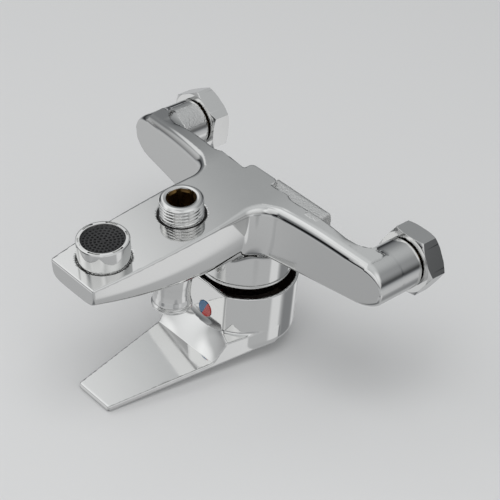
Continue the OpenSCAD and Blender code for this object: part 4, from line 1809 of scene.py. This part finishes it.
@dataclass(frozen=True)
class Aerator:
    """Aerator: a chromed sleeve whose rim has key slots, and a dark insert with rings of holes.

    Attributes:
        places: Places of the main axes.
        radius: Outer radius of the sleeve.
        length: How far it stands out of the underside.
        top: How far it reaches into the casting.
        slots: Key slots round the rim.
        slot_half: Half of a slot's angle.
        slot_edge: Half of the angle over which a slot's wall drops.
        slot_depth: Depth of a slot.
        steps_per_slot: Even steps from slot to slot.
        insert_radius: Radius of the insert.
        insert_set_back: How far the insert's face lies behind the rim.
        insert_back: Height of its back.
        hole_rows: Radius of each row of holes, and their number.
        hole_radius: Radius of a hole.
        hole_depth: Depth of a hole.
        hole_wall: Width over which a hole's wall drops.
        ridge: Depth of the troughs between the ridges.
        ridge_start: Radius of the first ridge.
        ridge_pitch: Distance from ridge to ridge.
        ring_gap: Distance between the rings of points.
        innermost: Radius within which there are no more rings.
        sides: Points round each ring.
    """

    places: Places
    radius: float = 12.3
    length: float = 10.8
    top: float = 6.4
    slots: int = 6
    slot_half: float = math.radians(14)
    slot_edge: float = math.radians(0.8)
    slot_depth: float = 1.3
    steps_per_slot: int = 24
    insert_radius: float = 10.1
    insert_set_back: float = 1.4
    insert_back: float = -2.0
    hole_rows: tuple[tuple[float, int], ...] = ((1.8, 6), (3.6, 12), (5.4, 18), (7.2, 24), (8.9, 30))
    hole_radius: float = 0.55
    hole_depth: float = 1.0
    hole_wall: float = 0.2
    ridge: float = 0.25
    ridge_start: float = 0.9
    ridge_pitch: float = 1.8
    ring_gap: float = 0.22
    innermost: float = 0.1
    sides: int = 200

    def sleeve(self, palette: Palette) -> None:
        """Builds the sleeve with its slotted rim.

        Args:
            palette: Finishes.
        """
        sector = 2 * math.pi / self.slots
        half, edge = self.slot_half, self.slot_edge
        walls = np.array([-half - edge, -half + edge, half - edge, half + edge])
        filler = np.linspace(-sector / 2, sector / 2, self.steps_per_slot, endpoint=False)
        one = np.unique(np.concatenate([filler, walls]))
        angles = np.concatenate([one + k * sector for k in range(self.slots)])
        turn = (angles + sector / 2) % sector - sector / 2
        end = -self.length
        pocket = np.where(np.abs(turn) < half, end + self.slot_depth, end)
        rings: Rings = [
            (8.1, self.top), (8.1, end + 3.0), (10.2, end + 2.9), (10.2, end + 0.25), (10.35, end),
            (10.7, end), (10.72, pocket), (11.45, pocket), (11.47, end), (11.75, end), (12.05, end + 0.12),
            (self.radius, end + 0.5), (self.radius, -0.6), (self.radius - 0.2, 0.3), (10.0, 0.35),
            (10.0, self.top),
        ]
        shell = turned_over(ring_stack(rings, angles, closed=True))
        shell = self.places.deck.placed(shell, self.places.aerator_out)
        make_piece("aerator_sleeve", shell, Body.TAP, Slot.CHROME, palette, ["aerator_housing"])

    def insert(self, palette: Palette) -> None:
        """Builds the insert's face as a disc with rows of small pits and ridges between them.

        Args:
            palette: Finishes.
        """
        turn = 2 * math.pi
        angles = even_angles(self.sides)
        face = -self.length + self.insert_set_back
        rings: Rings = [(MIDDLE, self.insert_back), (self.insert_radius, self.insert_back)]
        for radius in np.arange(self.insert_radius, self.innermost, -self.ring_gap):
            height = np.full(len(angles), face)
            wave = (radius - self.ridge_start) / self.ridge_pitch * turn
            height += self.ridge * (1 - np.cos(wave)) * 0.5
            for row, holes in self.hole_rows:
                gap = ((angles * holes / turn + 0.5) % 1 - 0.5) * turn / holes * row
                away = np.hypot(gap, radius - row)
                height += self.hole_depth * np.clip((self.hole_radius - away) / self.hole_wall, 0, 1)
            rings.append((float(radius), height))
        rings.append((MIDDLE, face))
        shell = self.places.deck.placed(turned_over(ring_stack(rings, angles)), self.places.aerator_out)
        make_piece("aerator_face", shell, Body.TAP, Slot.GREY, palette, ["aerator_insert"])

    def build(self, palette: Palette) -> None:
        """Builds both pieces."""
        self.sleeve(palette)
        self.insert(palette)


@dataclass(frozen=True)
class InletThreads:
    """Threads that show at the wall inlets: inside each union nut and on each tail.

    Attributes:
        places: Places of the main axes.
        nut: Thread inside a nut.
        nut_span: Heights of the plain rings at its ends.
        nut_run: Heights between which it runs.
        tail: Thread on a tail's neck.
        tail_span: Heights of the plain rings at its ends.
        tail_run: Heights between which it runs.
        sides: Points round each ring.
    """

    places: Places
    nut: Thread = Thread(12.05, 11.5, 1.814)
    nut_span: tuple[float, float] = (-3.4, -0.3)
    nut_run: tuple[float, float] = (-3.35, -0.4)
    tail: Thread = Thread(9.5, 8.9, 1.6)
    tail_span: tuple[float, float] = (-15.5, -10.6)
    tail_run: tuple[float, float] = (-15.4, -10.7)
    sides: int = 96

    def cut(self, thread: Thread, span: tuple[float, float], run: tuple[float, float], side: int) -> Shell:
        """Builds a thread with a plain ring at either end, on one inlet's axis.

        Args:
            thread: The thread.
            span: Heights of the plain rings.
            run: Heights between which the thread runs.
            side: -1 for the left inlet, 1 for the right one.

        Returns:
            The shell, with faces that look away from the axis.
        """
        angles = even_angles(self.sides)
        rings = [(thread.crest, span[0]), *thread.rings(*run, angles), (thread.crest, span[1])]
        shell = ring_stack(rings, angles)
        x, y, z = shell.points.T
        shell.points = np.stack([x + side * self.places.leg_x, z, -y], axis=1)
        return shell

    def build(self, palette: Palette) -> None:
        """Cuts one thread in each nut and one on each tail's neck.

        Args:
            palette: Finishes.
        """
        for side, name, body in ((-1, "left", Body.NUT_LEFT), (1, "right", Body.NUT_RIGHT)):
            inside = turned_over(self.cut(self.nut, self.nut_span, self.nut_run, side))
            make_piece(f"nut_thread_{name}", inside, body, Slot.BRASS, palette)
            neck = self.cut(self.tail, self.tail_span, self.tail_run, side)
            make_piece(f"tail_thread_{name}", neck, Body.TAP, Slot.BRASS, palette)


# ---------------------------------------------------------------- CAD nodes that keep their shape

NODE_SLOTS: dict[str, Slot] = {
    "inlet_tail_left": Slot.BRASS,
    "inlet_tail_right": Slot.BRASS,
    "union_nut_left": Slot.CHROME,
    "union_nut_right": Slot.CHROME,
    "inlet_washers": Slot.RUBBER,
    "cartridge_seals": Slot.RUBBER,
    "cartridge_base": Slot.WHITE,
    "fixed_disc": Slot.CERAMIC,
    "moving_disc": Slot.CERAMIC,
    "disc_carrier": Slot.WHITE,
    "stem_holder": Slot.WHITE,
    "stem_pin": Slot.STEEL,
    "lever_stem": Slot.STEEL,
    "cartridge_housing": Slot.GREY,
    "clamp_nut": Slot.BRASS,
    "cover_dome": Slot.CHROME,
    "set_screw": Slot.STEEL,
    "index_plug": Slot.INDEX,
    "diverter_stem": Slot.BRASS,
    "diverter_valve": Slot.BRASS,
    "diverter_seal": Slot.RUBBER,
    "diverter_spring": Slot.STEEL,
    "diverter_bonnet": Slot.CHROME,
    "bonnet_seal": Slot.RUBBER,
    "nipple_seal": Slot.RUBBER,
    "aerator_mesh": Slot.STEEL,
    "aerator_washer": Slot.RUBBER,
}


@dataclass(frozen=True)
class EdgeRound:
    """Small round that lets the edges of a machined CAD node catch the light.

    Attributes:
        radius: Radius of the round.
        segments: Faces across it.
        sharpest: Angle above which an edge gets it.
        weld: Distance within which doubled points are joined first.
    """

    radius: float
    segments: int = 3
    sharpest: float = math.radians(25)
    weld: float = 0.002

    def apply(self, target: bpy.types.Object) -> None:
        """Adds the modifiers that weld the node's doubled points and round its edges.

        Args:
            target: The CAD node.
        """
        weld = target.modifiers.new("weld", "WELD")
        weld.merge_threshold = self.weld * MM
        bevel = target.modifiers.new("edge", "BEVEL")
        bevel.width = self.radius * MM
        bevel.segments = self.segments
        bevel.limit_method = "ANGLE"
        bevel.angle_limit = self.sharpest
        bevel.harden_normals = True


EDGE_ROUNDS: dict[str, EdgeRound] = {
    "union_nut_left": EdgeRound(0.35),
    "union_nut_right": EdgeRound(0.35),
    "cover_dome": EdgeRound(0.2),
    "index_plug": EdgeRound(0.3),
}


def dress_nodes(nodes: Mapping[str, bpy.types.Object], palette: Palette) -> None:
    """Gives every CAD node that stays visible its finish, and rounds the edges that catch light.

    Args:
        nodes: CAD nodes by name.
        palette: Finishes.
    """
    for name, slot in NODE_SLOTS.items():
        target = nodes[name]
        material = palette.by_slot[slot]
        if not target.material_slots:
            target.data.materials.append(material)
        for place in target.material_slots:
            place.material = material
        if name in EDGE_ROUNDS:
            EDGE_ROUNDS[name].apply(target)
        LOG.info("%s: %s", name, material.name)


# ---------------------------------------------------------------- stage, light and camera


@dataclass(frozen=True)
class Glow:
    """Round soft box in the room that chrome reflects, or a dark gap where its level is below zero.

    Attributes:
        towards: Direction of its middle.
        rim: Cosine of the angle from there at which it starts.
        core: Cosine of the angle from there within which it is full.
        level: What it adds to the room's light.
    """

    towards: tuple[float, float, float]
    rim: float
    core: float
    level: float


@dataclass(frozen=True)
class Room:
    """Room round the tap, as its chrome sees it: bands of tone from the nadir up, soft boxes and dark gaps.

    The camera sees a plain backdrop in its place.

    Attributes:
        backdrop: Colour that the camera sees.
        bands: Share of the way from nadir to zenith, and the colour there.
        glows: Soft boxes and dark gaps.
        darkest: Level that no part of the room falls below.
    """

    backdrop: str = "#d2d3d4"
    bands: tuple[tuple[float, str], ...] = (
        (0.0, "#d2d4d5"), (0.12, "#b2b4b5"), (0.22, "#8e9091"), (0.33, "#7a7c7e"), (0.42, "#4a4c4e"),
        (0.475, "#1c1d1e"), (0.53, "#4e5053"), (0.58, "#a6a8aa"), (0.68, "#c6c7c8"), (0.8, "#b4b5b6"),
        (1.0, "#a9aaab"),
    )
    glows: tuple[Glow, ...] = (
        Glow((-0.93, -0.08, -0.37), 0.62, 0.97, 0.45),
        Glow((0.41, -0.53, -0.74), 0.86, 0.95, 0.35),
        Glow((-0.30, -0.83, -0.46), 0.85, 0.95, 0.45),
        Glow((0.74, -0.57, -0.36), 0.87, 0.95, 0.30),
        Glow((0.675, 0.11, -0.73), 0.935, 0.975, 0.42),
        Glow((0.31, -0.75, 0.59), 0.94, 0.998, -0.07),
        Glow((0.55, -0.66, 0.51), 0.95, 0.985, 0.22),
        Glow((-0.25, 0.80, 0.54), 0.93, 0.98, -0.24),
        Glow((0.19, 0.90, 0.39), 0.95, 0.98, 0.35),
        Glow((-0.66, 0.46, 0.59), 0.975, 0.992, 0.25),
        Glow((-0.13, -0.21, 0.97), 0.86, 0.96, -0.25),
        Glow((0.05, -0.99, 0.11), 0.94, 0.98, -0.28),
        Glow((-0.91, -0.26, 0.32), 0.94, 0.98, -0.22),
    )
    darkest: float = 0.01

    def tones(self, tree: bpy.types.NodeTree, way: bpy.types.NodeSocket) -> bpy.types.NodeSocket:
        """Adds the bands of tone.

        Args:
            tree: The world's tree.
            way: Direction that is looked in.

        Returns:
            Colour of the bands in that direction.
        """
        height = add_node(tree, "ShaderNodeSeparateXYZ", {0: way}).outputs[2]
        share = add_node(tree, MATH, {0: height, 1: 0.5, 2: 0.5}, operation="MULTIPLY_ADD").outputs[0]
        room = add_node(tree, "ShaderNodeValToRGB", {0: share})
        ramp = room.color_ramp
        ramp.interpolation = "B_SPLINE"
        while len(ramp.elements) < len(self.bands):
            ramp.elements.new(0.5)
        for element, (place, tint) in zip(ramp.elements, self.bands):
            element.position = place
            element.color = srgb(tint)
        return room.outputs[0]

    def build(self) -> None:
        """Sets the scene's world."""
        world = bpy.data.worlds.new("studio")
        bpy.context.scene.world = world
        world.use_nodes = True
        tree = world.node_tree
        tree.nodes.clear()
        way = add_node(tree, "ShaderNodeTexCoord").outputs["Generated"]
        light = self.tones(tree, way)
        for glow in self.glows:
            dot = add_node(tree, VECTOR_MATH, {0: way, 1: glow.towards}, operation="DOT_PRODUCT")
            patch = {0: dot.outputs["Value"], 1: glow.rim, 2: glow.core, 3: 0.0, 4: glow.level}
            level = add_node(tree, MAP_RANGE, patch, interpolation_type="SMOOTHSTEP").outputs[0]
            light = add_node(tree, VECTOR_MATH, {0: light, 1: level}, operation="ADD").outputs[0]
        floor = {0: light, 1: (self.darkest,) * 3}
        light = add_node(tree, VECTOR_MATH, floor, operation="MAXIMUM").outputs[0]
        room = add_node(tree, "ShaderNodeBackground", {0: light, 1: 1.0})
        backdrop = add_node(tree, "ShaderNodeBackground", {0: srgb(self.backdrop), 1: 1.0})
        seen = add_node(tree, "ShaderNodeLightPath").outputs["Is Camera Ray"]
        mix = add_node(tree, "ShaderNodeMixShader", {0: seen, 1: room.outputs[0], 2: backdrop.outputs[0]})
        add_node(tree, "ShaderNodeOutputWorld", {0: mix.outputs[0]})


@dataclass(frozen=True)
class PaintedSheet:
    """Large sheet of matt painted board, which gives the eye a plain ground with the part's soft shadow.

    It shows on one side only and takes no part in reflections.

    Attributes:
        name: Name of the sheet.
        height: Its height in metres.
        facing_down: True where its lower side is the one that shows.
        tint: Colour of the paint.
        roughness: Roughness of the paint.
        specular: Strength of its shine.
        half: Half of the sheet's side in metres.
    """

    name: str
    height: float
    facing_down: bool
    tint: str = "#d8d8d8"
    roughness: float = 0.8
    specular: float = 0.2
    half: float = 3.0

    def paint(self) -> bpy.types.Material:
        """Builds the paint, which is clear from behind.

        Returns:
            The node material.
        """
        material, tree, shader = new_material(self.name)
        inputs = {
            "Base Color": srgb(self.tint),
            "Roughness": self.roughness,
            "Specular IOR Level": self.specular,
        }
        feed(tree, shader, inputs)
        behind = add_node(tree, "ShaderNodeNewGeometry").outputs["Backfacing"]
        clear = add_node(tree, "ShaderNodeBsdfTransparent")
        mix = add_node(tree, "ShaderNodeMixShader", {0: behind, 1: shader.outputs[0], 2: clear.outputs[0]})
        tree.links.new(mix.outputs[0], tree.nodes["Material Output"].inputs["Surface"])
        return material

    def build(self) -> None:
        """Adds the sheet as part of the stage."""
        h, z = self.half, self.height
        corners = [(-h, -h, z), (h, -h, z), (h, h, z), (-h, h, z)]
        mesh = bpy.data.meshes.new(self.name)
        mesh.from_pydata(corners, [], [(3, 2, 1, 0) if self.facing_down else (0, 1, 2, 3)])
        mesh.materials.append(self.paint())
        sheet = bpy.data.objects.new(self.name, mesh)
        bpy.context.scene.collection.objects.link(sheet)
        sheet.visible_glossy = False
        sheet.visible_diffuse = False
        sheet.visible_shadow = False
        sheet.visible_transmission = False


@dataclass(frozen=True)
class SoftLamp:
    """Square soft lamp that points at the tap.

    Attributes:
        name: Name of the lamp.
        place: Where it hangs, in metres.
        side: Its side in metres.
        watts: Its power.
        aim: What it points at, in metres.
    """

    name: str
    place: tuple[float, float, float]
    side: float
    watts: float
    aim: tuple[float, float, float] = (0.0, -0.07, 0.02)

    def build(self) -> None:
        """Hangs the lamp. It lights the part but isn't seen in it."""
        data = bpy.data.lights.new(self.name, "AREA")
        data.size = self.side
        data.energy = self.watts
        lamp = bpy.data.objects.new(self.name, data)
        lamp.location = self.place
        lamp.rotation_euler = (Vector(self.aim) - Vector(self.place)).to_track_quat("-Z", "Y").to_euler()
        lamp.visible_glossy = False
        bpy.context.scene.collection.objects.link(lamp)


@dataclass(frozen=True)
class View:
    """Camera in front of and below the tap, rolled so that the lever lies on the table.

    Attributes:
        place: Where it stands, in metres.
        right: Direction of its right-hand side.
        back: Direction away from the tap.
        lens: Focal length in millimetres.
        sensor: Width of the sensor in millimetres.
    """

    place: tuple[float, float, float] = (-0.4624, -0.5093, -0.4547)
    right: tuple[float, float, float] = (-0.6710, 0.7372, -0.0792)
    back: tuple[float, float, float] = (-0.5655, -0.5779, -0.5883)
    lens: float = 119.66
    sensor: float = 36.0

    def build(self) -> None:
        """Sets the scene's camera."""
        data = bpy.data.cameras.new("camera")
        data.sensor_width = self.sensor
        data.lens = self.lens
        camera = bpy.data.objects.new("camera", data)
        right = Vector(self.right).normalized()
        back = Vector(self.back).normalized()
        up = back.cross(right).normalized()
        right = up.cross(back)
        matrix = Matrix((right, up, back)).transposed().to_4x4()
        matrix.translation = Vector(self.place)
        camera.matrix_world = matrix
        bpy.context.scene.collection.objects.link(camera)
        bpy.context.scene.camera = camera


@dataclass(frozen=True)
class Studio:
    """Table and lamps. The tap lies on its lever, upside down, so the table is the sheet above it."""

    sheets: tuple[PaintedSheet, ...] = (
        PaintedSheet("table", 0.0735, facing_down=True),
        PaintedSheet("floor", -0.034, facing_down=False),
    )
    lamps: tuple[SoftLamp, ...] = (
        SoftLamp("key_below", (-0.25, -0.35, -1.25), 0.9, 7.0),
        SoftLamp("fill_below", (0.9, -0.9, -0.6), 0.8, 2.0),
        SoftLamp("key_above", (0.5, -0.7, 1.2), 0.8, 8.0),
    )
    room: Room = Room()
    view: View = View()

    def build(self) -> None:
        """Sets up the whole studio."""
        for sheet in self.sheets:
            sheet.build()
        self.room.build()
        for lamp in self.lamps:
            lamp.build()
        self.view.build()
        bpy.context.scene.view_settings.view_transform = "Standard"


def main() -> None:
    """Loads the frame, builds and dresses every part, and sets up the studio."""
    logging.basicConfig(level=logging.INFO, format="%(name)s: %(message)s")
    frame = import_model()
    places = Places.from_frame(frame["record"])
    plug_low, plug_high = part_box("index_plug")
    palette = Palette((plug_low + plug_high) / 2)
    for assembly in (BodyCasting, Handle, DiverterKnob, ShowerNipple, Aerator, InletThreads):
        assembly(places).build(palette)
    dress_nodes(frame["nodes"], palette)
    Studio().build()


if __name__ == "__main__":
    main()
